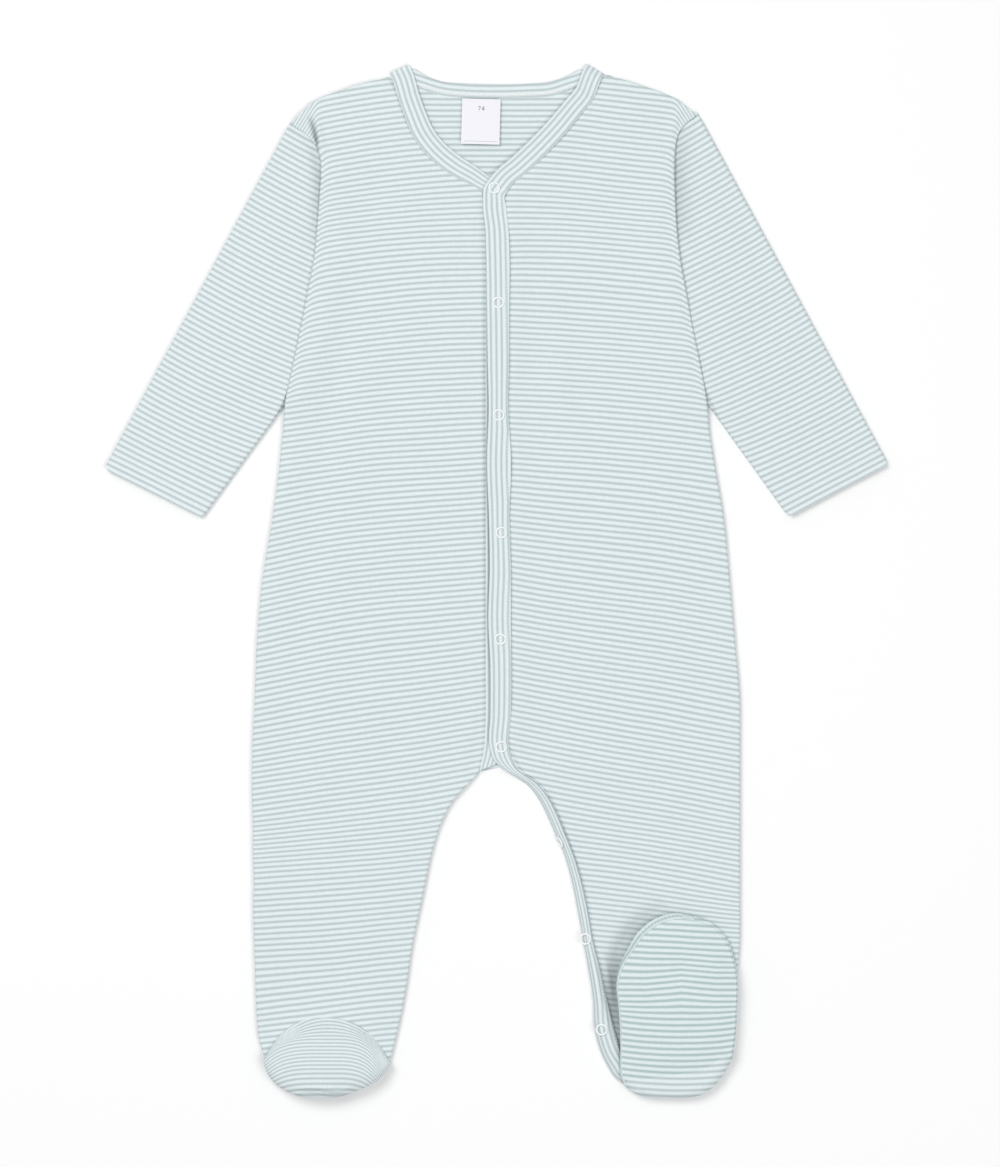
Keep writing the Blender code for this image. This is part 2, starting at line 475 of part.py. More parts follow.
def shoulder_rows(fold, away):
    """The band's rows where it turns over the shoulder, from its face up to its face down."""
    first, last = flat(fold[0]), flat(fold[1])
    line = (last - first).normalized()
    way = Vector((line.y, -line.x, 0.0))
    if way.dot(away) < 0:
        way = -way
    rows = []
    for angle in (0, 36, 72, 108, 144, 180):
        a = math.radians(angle)
        normal = way * math.sin(a) + Vector((0, 0, math.cos(a)))
        row = []
        for share in (0.0, 0.2, 0.8, 1.0):
            centre = mix(first, last, share) - way * SHOULDER_ROLL + Vector((0, 0, SHOULDER_ROLL))
            outer = centre + normal * SHOULDER_ROLL
            row.append((outer, outer - normal * BAND))
        rows.append(row)
    return rows


def neck_band(finish):
    rows = [band_row(row, BAND, 0.15) for row in BAND_V_LEFT]
    rows += shoulder_rows(SHOULDER_FOLD_LEFT, Vector((0, 1, 0)))
    rows += [band_row(row, BAND, 0.0, facing_up=False) for row in BAND_BACK]
    rows += reversed(shoulder_rows(SHOULDER_FOLD_RIGHT, Vector((0, 1, 0))))
    rows += [band_row(row, BAND, 0.15) for row in BAND_V_RIGHT]
    pairs = [pair for row in rows for pair in row]
    return cloth("neck_band", pairs, grid_faces(len(rows), 4), finish)


def placket_pairs(row):
    left = flat((row.lx, row.ly), row.left_under)
    right = flat((row.rx, row.ry), row.right_under)
    up = (right - left).cross(Vector((0, 0, 1)).cross(right - left)).normalized()
    pairs = []
    for share, rise in ((0.0, 0.0), (0.2, 0.15), (0.8, 0.15), (1.0, 0.0)):
        low = mix(left, right, share)
        pairs.append((low + up * (BAND + rise), low))
    return pairs


def placket(name, rows, finish):
    pairs = [pair for row in rows for pair in placket_pairs(row)]
    return cloth(name, pairs, grid_faces(len(rows), 4), finish)


def snap_place(snap):
    """The middle of a ring on the buttoned band, and the direction that the band faces there."""
    row = PLACKET_TOP[snap.row]
    other = PLACKET_TOP[snap.row + (1 if snap.share >= 0 else -1)]
    here, there = placket_pairs(row), placket_pairs(other)
    share = abs(snap.share)
    left = mix(here[0][0], there[0][0], share)
    right = mix(here[3][0], there[3][0], share)
    onward = (there[0][0] - here[0][0]) * (1 if snap.share >= 0 else -1)
    up = (right - left).cross(onward).normalized()
    if up.z < 0:
        up = -up
    if snap.tip:
        out = flat(onward).cross(Vector((0, 0, 1))).normalized()
        out *= math.copysign(1.0, -out.x)
        tip = math.radians(snap.tip)
        tipped = out * math.sin(tip) + Vector((0, 0, math.cos(tip)))
        return flat(left, SNAP_TIPPED) + out * SNAP_LIFT, tipped
    return mix(left, right, 0.5) + up * (0.15 + SNAP_LIFT), up


def snap_ring(snap, finish):
    """An open prong ring, pressed through the band."""
    centre, up = snap_place(snap)
    side = up.cross(Vector((0, 1, 0))).normalized()
    fore = up.cross(side)
    section = ((SNAP_OUTER, 0.0), (SNAP_OUTER - 0.2, SNAP_THICK), (SNAP_INNER + 0.2, SNAP_THICK),
               (SNAP_INNER, 0.0))
    points = []
    for k in range(SNAP_SIDES):
        a = 2 * math.pi * k / SNAP_SIDES
        spoke = side * math.cos(a) + fore * math.sin(a)
        points += [centre + spoke * radius + up * height for radius, height in section]
    count = len(section)
    faces = []
    for k in range(SNAP_SIDES):
        following = (k + 1) % SNAP_SIDES
        for n in range(count):
            m = (n + 1) % count
            faces.append((k * count + n, k * count + m, following * count + m, following * count + n))
    return make_object(snap.name, points, faces, finish)


def oval(angle, grow=0.0):
    """A point on the flat foot's sole, or that far outside it, at an angle in degrees."""
    a = math.radians(angle)
    c, s = math.cos(a), math.sin(a)
    x = math.copysign(abs(c) ** (2 / SOLE_POWER), c) * (SOLE_HALF_WIDTH + grow)
    y = math.copysign(abs(s) ** (2 / SOLE_POWER), s) * (SOLE_HALF_LENGTH + grow)
    return SOLE_MIDDLE[0] + x, SOLE_MIDDLE[1] + y


def wrap_rows():
    """The back panel's rows round the folded foot's heel, from the flat part to the heel seam."""
    rows = []
    for angle in (0, 30, 60, 90, 120, 150, 180):
        a = math.radians(angle)
        row = []
        for column in HEEL_WRAP:
            facing = math.radians(column.facing)
            way = Vector((math.cos(facing), math.sin(facing), 0.0))
            normal = way * math.sin(a) - Vector((0, 0, math.cos(a)))
            centre = flat((column.x, column.y), HEEL_ROLL) - way * HEEL_ROLL
            row.append((centre + normal * HEEL_ROLL, centre + normal * (HEEL_ROLL - WALL)))
        rows.append(row)
    for share in (0.5, 1.0):
        row = []
        for column in HEEL_WRAP:
            facing = math.radians(column.facing)
            way = Vector((math.cos(facing), math.sin(facing), 0.0))
            top = flat((column.x, column.y), SOLE_TOP) - way * (HEEL_ROLL + column.run * share)
            row.append((top, top - Vector((0, 0, WALL))))
        rows.append(row)
    return rows


def heel_seam():
    """The line of the folded foot's heel seam, at the end of the turned-up cloth."""
    return [row_pair[0] for row_pair in wrap_rows()[-1]]


def inset(x, y):
    """A point of the outline moved inwards across the panel."""
    return (x - math.copysign(BACK_INSET, x), y)


def back_outline():
    """The flat part of the back panel, anticlockwise from the left shoulder, and its heel fold's start."""
    left_side = [inset(row.ox, row.oy) for row in FRONT_LEFT if row.oy < ARMPIT]
    right_side = [inset(row.ox, row.oy) for row in FRONT_RIGHT if row.oy < ARMPIT]
    left_armhole = [inset(row.x, row.y) for row in SLEEVE_LEFT]
    right_armhole = [inset(row.x, row.y) for row in SLEEVE_RIGHT]
    right_inner = [(row.ix - BACK_INSET, row.iy) for row in FRONT_RIGHT if row.iy < CROTCH[1]]
    heel = [oval(angle, SEAM_GAP) for angle in range(200, -21, -10)]
    outline = BACK_SHOULDER_LEFT + BACK_NECK + BACK_SHOULDER_RIGHT
    outline += [BACK_TIP_RIGHT] + right_armhole[1:] + [BACK_ARMPIT_RIGHT] + right_side
    outline += heel + list(reversed(right_inner)) + [CROTCH] + BACK_INNER_LEG_LEFT
    start = len(outline)
    outline += [(pair[0].x, pair[0].y) for pair in wrap_rows()[0]]
    outline += list(reversed(left_side)) + [BACK_ARMPIT_LEFT]
    outline += list(reversed(left_armhole[1:])) + [BACK_TIP_LEFT]
    return outline, start


def back(finish):
    """The whole back with both legs, cut in one, and turned up round the heel of the folded foot."""
    outline, start = back_outline()
    pairs = [(flat(point, 0.0), flat(point, WALL)) for point in outline]
    faces = [tuple(range(len(outline)))]
    rows = wrap_rows()[1:]
    columns = len(HEEL_WRAP)
    first = len(pairs)
    for row in rows:
        pairs += row
    for j in range(columns - 1):
        faces.append((start + j + 1, start + j, first + j, first + j + 1))
    faces += [tuple(reversed(face)) for face in grid_faces(len(rows), columns, start=first)]
    return cloth("back", pairs, faces, finish)


def toe_piece(finish):
    """The puffed toe of the flat foot, from its arched seam over the toes and in to the sole."""
    start, stop, bow = flat(TOE_ARC[0]), flat(TOE_ARC[1]), TOE_ARC[2]
    grid = []
    for k, row in enumerate(TOE):
        share = k / (len(TOE) - 1)
        seam = mix(start, stop, share)
        seam.y += bow * 4 * share * (1 - share) - 0.6
        arch = math.sin(math.pi * (0.04 + 0.92 * share)) ** 0.6
        seam_top = mix(SEAM_TOP - 0.3, 7.2, arch)
        crown = mix(6.0, TOE_HEIGHT, arch)
        reach = flat((row.x, row.y))
        sole = flat(oval(row.angle, 1.0))
        line = [flat(seam, seam_top)]
        for along, rise in ((0.14, 0.34), (0.3, 0.68), (0.5, 0.92), (0.7, 1.0), (0.86, 0.9), (0.96, 0.66)):
            line.append(flat(mix(seam, reach, along), mix(seam_top, crown, rise)))
        line.append(flat(reach, crown * 0.36))
        line.append(flat(mix(reach, sole, 0.12), crown * 0.16))
        line.append(flat(mix(reach, sole, 0.45), 0.0))
        line.append(flat(sole, 0.0))
        grid.append(line)
    return sheet("foot_upper_right", grid, finish, -1)


def folded_upper(finish):
    """The folded foot's upper: a shallow pocket, face down on the leg, its rim under the sole."""
    pairs = []
    profile = ((-0.9, FOOT_RIM), (0.0, FOOT_RIM - 0.1), (0.75, FOOT_RIM - 0.9), (1.0, 7.4), (0.85, 6.0))
    for row in FOLDED_FOOT:
        spine = flat((FOOT_SPINE_X, min(max(row.y, FOOT_SPINE_ENDS[0]), FOOT_SPINE_ENDS[1])))
        edge = flat((row.x, row.y))
        way = (edge - spine).normalized()
        reach = (edge - spine).length
        line = []
        for share, height in profile:
            out = reach - row.rim * (1 - share) if share >= 0 else reach - row.rim + share
            line.append((out, height))
        line += [(reach - 0.9, FOOT_FLOOR + 0.5), (reach - 2.4, FOOT_FLOOR), (reach * 0.55, FOOT_FLOOR)]
        line.append((0.0, FOOT_FLOOR))
        for k, (out, height) in enumerate(line):
            before, after = line[max(k - 1, 0)], line[min(k + 1, len(line) - 1)]
            across, drop = after[0] - before[0], after[1] - before[1]
            size = math.hypot(across, drop)
            normal = (way * -drop + Vector((0, 0, across))) / size
            outer = spine + way * out + Vector((0, 0, height))
            pairs.append((outer, outer + normal * -WALL))
    return cloth("foot_upper_left", pairs, grid_faces(len(FOLDED_FOOT), len(profile) + 4), finish)


def folded_sole(finish):
    """The sole of the folded foot, which faces up and is slightly crowned."""
    edge = []
    for row in FOLDED_FOOT:
        spine = flat((FOOT_SPINE_X, min(max(row.y, FOOT_SPINE_ENDS[0]), FOOT_SPINE_ENDS[1])))
        point = flat((row.x, row.y))
        edge.append(point - (point - spine).normalized() * row.rim)
    seam = heel_seam()
    for point in reversed(seam):
        edge.append(flat(point) + Vector((0, GAP + 0.1, 0)))
    middle = sum(edge, Vector()) / len(edge)
    pairs = []
    for share in (1.0, 0.86, 0.6, 0.3):
        for point in edge:
            place = mix(middle, point, share)
            place.z = SOLE_TOP + SOLE_CROWN * (1 - share ** 2)
            pairs.append((place, place - Vector((0, 0, WALL))))
    faces = grid_faces(4, len(edge), closed=True)
    top = middle + Vector((0, 0, SOLE_TOP + SOLE_CROWN))
    pairs.append((top, top - Vector((0, 0, WALL))))
    start = 3 * len(edge)
    for k in range(len(edge)):
        faces.append((start + k, start + (k + 1) % len(edge), len(pairs) - 1))
    return cloth("sole_left", pairs, faces, finish)


def label(finish):
    """A plain woven label, sewn in at the back of the neck."""
    a = math.radians(LABEL_TILT)
    across = Vector((math.cos(a), math.sin(a), 0))
    down = Vector((math.sin(a), -math.cos(a), 0))
    corner = flat(LABEL_TOP)
    wide, long = across * LABEL_SIZE[0], down * LABEL_SIZE[1]
    corners = (corner, corner + long, corner + long + wide, corner + wide)
    return plate("label", [(p.x, p.y) for p in corners], SECOND, SECOND + LABEL_THICK, finish)


def build():
    clear_scene()
    jersey = material("striped jersey", STRIPED, 0.9)
    binding = material("striped binding", BINDING, 0.9)
    white = material("white", WHITE, 0.4)
    back(jersey)
    front("front_right", FRONT_RIGHT, -1, jersey)
    front("front_left", FRONT_LEFT, 1, jersey)
    sleeve("sleeve_right", SLEEVE_RIGHT, CUFF_RIGHT, 1, jersey)
    sleeve("sleeve_left", SLEEVE_LEFT, CUFF_LEFT, -1, jersey)
    neck_band(binding)
    placket("placket_under", PLACKET_UNDER, binding)
    placket("placket_top", PLACKET_TOP, binding)
    plate("sole_right", [oval(angle) for angle in range(0, 360, 10)], 0.0, WALL, jersey)
    toe_piece(jersey)
    folded_upper(jersey)
    folded_sole(jersey)
    label(white)
    for snap in SNAPS:
        snap_ring(snap, white)


build()
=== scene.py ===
# %% [markdown]
# # A footed sleepsuit in narrow striped jersey, laid flat
# The suit lies on its back, straight below the camera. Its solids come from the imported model, and every one
# of them is cloth or a small metal ring, so each gets a finer piece here that takes its place.
# All sizes are in millimetres, as a maker would note them, and become metres when a mesh is made.

import math
from types import SimpleNamespace

import bmesh
import bpy
import numpy as np
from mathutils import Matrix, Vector
from mathutils.bvhtree import BVHTree


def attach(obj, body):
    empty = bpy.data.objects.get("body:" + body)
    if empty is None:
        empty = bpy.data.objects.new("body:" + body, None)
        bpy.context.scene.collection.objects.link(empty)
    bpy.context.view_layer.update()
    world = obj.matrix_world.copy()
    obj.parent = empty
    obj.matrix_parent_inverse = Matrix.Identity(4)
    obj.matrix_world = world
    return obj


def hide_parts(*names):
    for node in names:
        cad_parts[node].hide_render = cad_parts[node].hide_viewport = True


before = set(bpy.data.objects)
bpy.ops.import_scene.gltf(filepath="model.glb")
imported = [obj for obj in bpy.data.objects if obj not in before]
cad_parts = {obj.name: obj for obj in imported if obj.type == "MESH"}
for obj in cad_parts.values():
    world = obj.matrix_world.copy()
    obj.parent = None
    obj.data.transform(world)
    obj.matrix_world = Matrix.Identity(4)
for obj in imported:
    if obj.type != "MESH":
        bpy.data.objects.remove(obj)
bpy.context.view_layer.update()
MM = 0.001
MIDDLE = np.array([0.2, 0.5, 0.0])      # where the frame's origin lies in the measures below
UP = np.array([0.0, 0.0, 1.0])
AHEAD = np.array([0.0, 1.0, 0.0])
print("solids to dress:", len(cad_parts))

# %% [markdown]
# Every shape below comes from short tables of sections. A table keeps its columns by name, and a row that
# stops short goes on with the values of the row above it. refine() puts smooth rows between the given ones,
# so a few are enough for a long soft edge. The curve through the rows is a cubic whose slope at each row
# depends on the rows beside it and how far away they are.


# %% Tables and smooth rows
def table(columns, rows):
    """Rows with named columns. A short row takes its last values from the row above it."""
    names = columns.split()
    full = []
    for row in rows:
        full.append(row + (full[-1][len(row):] if full else ()))
    return [SimpleNamespace(**dict(zip(names, row))) for row in full]


def cubic(knots, values, at):
    """Values on a smooth curve through a row of values for each knot."""
    h = np.diff(knots)
    slope = np.diff(values, axis=0) / h[:, None]
    tangent = np.empty_like(values)
    before, after = h[:-1, None], h[1:, None]
    tangent[1:-1] = (slope[:-1] * after + slope[1:] * before) / (before + after)
    tangent[0], tangent[-1] = slope[0], slope[-1]
    k = np.clip(np.searchsorted(knots, at, side="right") - 1, 0, len(h) - 1)
    t = ((at - knots[k]) / h[k])[:, None]
    span = h[k][:, None]
    start = (2 * t**3 - 3 * t**2 + 1) * values[k] + (t**3 - 2 * t**2 + t) * span * tangent[k]
    end = (3 * t**2 - 2 * t**3) * values[k + 1] + (t**3 - t**2) * span * tangent[k + 1]
    return start + end


def lengths_along(points):
    return np.concatenate([[0.0], np.cumsum(np.linalg.norm(np.diff(points, axis=0), axis=1))])


def refine(rows, steps, places, straight=()):
    """More rows between a table's rows. The straight columns change in straight lines."""
    names = list(vars(rows[0]))
    values = np.array([[getattr(row, name) for name in names] for row in rows], float)
    knots = lengths_along(values[:, [names.index(name) for name in places.split()]])
    at = [np.linspace(a, b, steps, endpoint=False) for a, b in zip(knots, knots[1:])]
    at = np.concatenate(at + [knots[-1:]])
    fine = cubic(knots, values, at)
    for name in straight:
        column = names.index(name)
        fine[:, column] = np.interp(at, knots, values[:, column])
    return [SimpleNamespace(**dict(zip(names, row))) for row in fine]


def smooth_line(points, count):
    """Points evenly along a smooth curve through the given ones."""
    points = np.array(points, float)
    knots = lengths_along(points)
    return cubic(knots, points, np.linspace(0, knots[-1], count))


def ease(x):
    x = np.clip(x, 0.0, 1.0)
    return x * x * (3 - 2 * x)


def rising(x, start, over):
    """0 up to the start, then softly up to 1 over this length. A negative length runs the other way."""
    return ease((x - start) / over)


def mix(a, b, share):
    return a + (b - a) * share


print("halfway between rows at 0 and 10:", refine(table("x", [(0,), (10,)]), 2, "x")[1].x)

# %% [markdown]
# A cloth piece is a grid of points, its outer face, with a second face a wall's thickness behind it and a
# rim that joins them. Each point also gets its place in the cloth as it was knitted: u along a row of
# stitches and v from stripe to stripe. That is stored as a UV map, and the stripes are drawn from it, so
# they turn round folds with the cloth.

# %% From a grid of points to a piece of cloth
JERSEY = 1.0        # thickness of the cloth
WELD = 1e-7         # points closer than this, in metres, become one
print("cloth", JERSEY, "mm thick")


def to_scene(points):
    """Points in the suit's millimetres, as the scene's metres."""
    return (np.asarray(points) - MIDDLE) * MM


def square_to(grid, closed):
    """The direction square to the grid at each of its points."""
    down = np.gradient(grid, axis=0)
    if closed:
        along = np.roll(grid, -1, axis=1) - np.roll(grid, 1, axis=1)
    else:
        along = np.gradient(grid, axis=1)
    normal = np.cross(down, along)
    size = np.linalg.norm(normal, axis=2, keepdims=True)
    return normal / np.maximum(size, 1e-9)


def grid_faces(rows, columns, closed=False):
    index = np.arange(rows * columns).reshape(rows, columns)
    across = np.roll(index, -1, axis=1) if closed else index[:, 1:]
    here = index if closed else index[:, :-1]
    quads = np.stack([here[:-1], across[:-1], across[1:], here[1:]], axis=-1)
    return quads.reshape(-1, 4)


def rim_faces(faces, count):
    """The faces that join the outer and the inner side round their open edges."""
    edges = dict.fromkeys((a, b) for face in faces for a, b in zip(face, [*face[1:], face[0]]))
    return [(b, a, count + a, count + b) for a, b in edges if (b, a) not in edges]


def bar_faces(rows, columns):
    """The faces of a bar: all round its sides, and one over each end."""
    faces = grid_faces(rows, columns, closed=True).tolist()
    ends = [list(range(columns))[::-1], list(range((rows - 1) * columns, rows * columns))]
    return faces + ends


def add_object(name, data):
    made = bpy.data.objects.new(name, data)
    bpy.context.scene.collection.objects.link(made)
    return made


def make_piece(name, points, faces, cloth, finish, sharp=60.0):
    """A mesh object in the suit's frame, with its cloth places as a UV map and its faces outwards."""
    mesh = bpy.data.meshes.new(name)
    mesh.from_pydata(to_scene(points).tolist(), [], faces)
    layer = mesh.uv_layers.new(name="Cloth")
    corners = np.empty(len(mesh.loops), np.int32)
    mesh.loops.foreach_get("vertex_index", corners)
    layer.data.foreach_set("uv", (np.asarray(cloth) * MM)[corners].astype(np.float32).ravel())
    shape = bmesh.new()
    shape.from_mesh(mesh)
    bmesh.ops.remove_doubles(shape, verts=shape.verts, dist=WELD)
    bmesh.ops.dissolve_degenerate(shape, edges=shape.edges, dist=WELD)
    if shape.calc_volume(signed=True) < 0:
        bmesh.ops.reverse_faces(shape, faces=shape.faces)
    shape.to_mesh(mesh)
    shape.free()
    mesh.materials.append(finish)
    mesh.shade_smooth()
    mesh.set_sharp_from_angle(angle=math.radians(sharp))
    return add_object(name, mesh)


def shell(name, grid, cloth, finish, facing=1, wall=JERSEY, closed=False, inner=None):
    """A piece of cloth whose outer face is the grid, with its thickness on the side away from facing."""
    rows, columns = grid.shape[:2]
    if inner is None:
        inner = grid - square_to(grid, closed) * facing * wall
    points = np.concatenate([grid.reshape(-1, 3), inner.reshape(-1, 3)])
    outer_faces = grid_faces(rows, columns, closed)
    count = rows * columns
    faces = outer_faces.tolist() + (outer_faces[:, ::-1] + count).tolist()
    faces += rim_faces(outer_faces.tolist(), count)
    return make_piece(name, points, faces, np.tile(cloth.reshape(-1, 2), (2, 1)), finish)


def strip(name, rings, cloth, finish):
    """A folded band: each ring goes once round its section, and both ends are closed."""
    faces = bar_faces(*rings.shape[:2])
    return make_piece(name, rings.reshape(-1, 3), faces, cloth.reshape(-1, 2), finish, 75.0)


# %% [markdown]
# ## The finishes
# The jersey is a single knit in two colours, about as much of one as of the other, with a repeat of 3.6 mm.
# Its material is worked out from the cloth places. Drawn node by node that would be hard to read, so a
# small class lets sums be written as sums: an expression on values adds its Math nodes, and one method adds
# the rest.


# %% Sums that add their nodes
class Value:
    """One socket of a finish, which can be added, multiplied and so on."""

    def __init__(self, finish, socket):
        self.finish = finish
        self.socket = socket

    def math(self, operation, first, second=None):
        inputs = {0: first} if second is None else {0: first, 1: second}
        return self.finish.add("ShaderNodeMath", inputs, operation=operation)

    def __add__(self, other):
        return self.math("ADD", self, other)

    def __sub__(self, other):
        return self.math("SUBTRACT", self, other)

    def __rsub__(self, other):
        return self.math("SUBTRACT", other, self)

    def __mul__(self, other):
        return self.math("MULTIPLY", self, other)

    __radd__ = __add__

    def step(self, low, high):
        """0 below low, 1 above high and a soft step from one to the other."""
        inputs = {"Value": self, "From Min": low, "From Max": high}
        return self.finish.add("ShaderNodeMapRange", inputs, interpolation_type="SMOOTHSTEP")

    def wave(self, length):
        """A cosine between -1 and 1 that repeats after this length."""
        return self.math("COSINE", self * (2 * math.pi / length))


class Finish:
    """A material, and the one way in which nodes are added to it."""

    def __init__(self, name):
        self.material = bpy.data.materials.new(name)
        self.material.use_nodes = True
        self.tree = self.material.node_tree
        self.shader = self.tree.nodes["Principled BSDF"]

    def put(self, node, inputs):
        """Give a node's inputs, by name, their links or their plain values."""
        for name, value in inputs.items():
            if isinstance(value, Value):
                self.tree.links.new(value.socket, node.inputs[name])
            else:
                node.inputs[name].default_value = value

    def add(self, kind, inputs, output=0, **settings):
        node = self.tree.nodes.new(kind)
        for name, value in settings.items():
            setattr(node, name, value)
        self.put(node, inputs)
        return Value(self, node.outputs[output])

    def mix(self, share, first, second, blend="MIX"):
        """A colour: the first where share is 0, the second where it is 1."""
        inputs = {"Factor": share, 6: first, 7: second}
        return self.add("ShaderNodeMix", inputs, 2, data_type="RGBA", blend_type=blend)

    def noise(self, scale, detail=2.0):
        inputs = {"Vector": self.where, "Scale": scale, "Detail": detail}
        return self.add("ShaderNodeTexNoise", inputs)

    def places(self):
        """How far along and across the stripes a point lies in the cloth, in millimetres."""
        self.where = self.add("ShaderNodeTexCoord", {}, "Object")
        place = self.add("ShaderNodeUVMap", {}, uv_map="Cloth")
        u = self.add("ShaderNodeSeparateXYZ", {"Vector": place}, "X") * 1000.0
        v = self.add("ShaderNodeSeparateXYZ", {"Vector": place}, "Y") * 1000.0
        return u, v

    def mark(self, name):
        """What a piece notes of itself, point by point, under this name."""
        return self.add("ShaderNodeAttribute", {}, "Fac", attribute_name=name)

    def bump(self, height, depth, strength):
        inputs = {"Strength": strength, "Distance": depth, "Height": height}
        self.put(self.shader, {"Normal": self.add("ShaderNodeBump", inputs)})

    def grey(self, shade):
        return self.add("ShaderNodeCombineColor", {"Red": shade, "Green": shade, "Blue": shade})


# %% [markdown]
# The yarn is cotton, matt and faintly fuzzy. Seen close it is columns of small V shaped stitches, seen from
# a step away only the stripes show, with edges that are a stitch uneven. So the stripe's edge is shaken a
# little by noise, the columns and rows of stitches are bump, and a trace of sheen stands for the fuzz.

# %% Striped jersey
REPEAT = 3.58       # from one dark stripe to the next
WALE = 0.9          # a column of stitches
COURSE = 0.6        # a row of stitches
SOFTNESS = 0.8      # of the stripe's edge, on a wave that runs from -1 to 1
# Scale and detail of the noise by which stripes wander, by which their edges shake, and of the fuzz.
DRIFT = (45.0, 2.0)
SHAKE = (1100.0, 1.0)
MOTTLE = (420.0, 3.0)
EDGE_SHAKE = 0.22
V_SHAPE = 0.25      # how far the middle of a column runs ahead, so that its stitches are V shaped
KNIT_DEPTH = 0.00012
LIGHT_YARN = (0.72, 0.795, 0.815, 1.0)
DARK_YARN = (0.486, 0.56, 0.57, 1.0)
SLACK_LIGHT = (0.70, 0.785, 0.80, 1.0)
SLACK_DARK = (0.425, 0.522, 0.525, 1.0)


def striped(name, light, dark, edge, waver, painted_shade_and_crowding=False):
    """Knitted cloth: dark where the stripe's wave is above edge, with the stripes wavering this far."""
    finish = Finish(name)
    u, v = finish.places()
    drift, shake, mottle = (finish.noise(*noise) for noise in (DRIFT, SHAKE, MOTTLE))
    uneven = v + (drift - 0.5) * waver + (shake - 0.5) * EDGE_SHAKE
    dark_share = uneven.wave(REPEAT).step(edge - SOFTNESS, edge + SOFTNESS)
    column = u.wave(WALE) * 0.5 + 0.5
    loops = (v + column * V_SHAPE).wave(COURSE)
    shade = 0.95 + (mottle - 0.5) * 0.10 + column * 0.035
    # Painted shade: where a piece notes it, its colour is darkened in deep folds. Where gathers crowd the
    # stripes, the dark ones give way.
    if painted_shade_and_crowding:
        dark_share = dark_share * (1.0 - finish.mark("crowded"))
        shade = shade * (1.0 - finish.mark("hollow"))
    colour = finish.mix(1.0, finish.mix(dark_share, light, dark), finish.grey(shade), "MULTIPLY")
    finish.put(finish.shader, {"Base Color": colour, "Roughness": 0.92 - column * 0.06})
    finish.put(finish.shader, {"Specular IOR Level": 0.2, "Sheen Weight": 0.06, "Sheen Roughness": 0.5})
    finish.bump(column * 0.6 + loops * 0.2 + (mottle - 0.5) * 0.8, KNIT_DEPTH, 0.35)
    print(f"{name}: repeat {REPEAT} mm, {len(finish.tree.nodes)} nodes")
    return finish.material


jersey = striped("striped_jersey", LIGHT_YARN, DARK_YARN, 0.16, 0.5)
foot_jersey = striped("slack_jersey", SLACK_LIGHT, SLACK_DARK, 0.12, 0.7)
# These two also carry the painted shade that a piece notes on itself, darkening the cloth's colour in deep
# folds.
jersey_with_painted_shade = striped("jersey_with_painted_shade", LIGHT_YARN, DARK_YARN, 0.16, 0.5, painted_shade_and_crowding=True)
binding_cloth = striped("striped_binding", LIGHT_YARN, DARK_YARN, 0.2, 0.25)
binding_with_painted_shade = striped("binding_with_painted_shade", LIGHT_YARN, DARK_YARN, 0.2, 0.25, painted_shade_and_crowding=True)


# %% [markdown]
# Thread, tape, lacquer and ink are simpler: one colour, a grain as bump, and a gloss that fits. The tape is
# woven, so its grain is a fine twill drawn from its own places instead of noise.


# %% Thread, label tape, snap lacquer and ink
def plain(name, colour, roughness, gloss, grain, depth, woven=False):
    finish = Finish(name)
    u, v = finish.places()
    texture = (u + v).wave(grain) * 0.5 + 0.5 if woven else finish.noise(grain)
    tone = finish.mix(1.0, (*colour, 1.0), finish.grey(0.95 + texture * 0.06), "MULTIPLY")
    finish.put(finish.shader, {"Base Color": tone, "Roughness": roughness, "Specular IOR Level": gloss})
    finish.bump(texture, depth, 0.4)
    return finish.material


thread = plain("white_thread", (0.84, 0.85, 0.855), 0.75, 0.3, 1800.0, 0.00005)
lacquer = plain("snap_lacquer", (0.86, 0.87, 0.87), 0.28, 0.5, 60.0, 0.00001)
tape = plain("label_tape", (0.80, 0.80, 0.845), 0.55, 0.35, 0.55, 0.00004, woven=True)
ink = plain("label_ink", (0.20, 0.21, 0.28), 0.7, 0.3, 900.0, 0.00002)
print("finishes:", len(bpy.data.materials))


# %% [markdown]
# ## The fronts
# Each front is cut in one with its leg. A section runs from the neck, placket or inner leg out to the side.
# At the side seams the cloth rolls over into the back, and at the armholes the body was folded over the
# sleeve, so the edge turns right round and runs back under itself. All of that is in the section, with
# heights that fall from the edges' thick seams to the single cloth in the middle.

# %% Heights that pieces share
SECOND = 1.5        # the underside of what lies on one layer of cloth
ROLL = 1.5          # radius of a rolled edge
ROLL_STEPS = 8
FOLD_TOP = 6.1      # where the body is folded over the sleeve
SEAM_TOP = 4.5      # where it is rolled over at a seam
print("a rolled edge turns in", ROLL_STEPS, "steps")

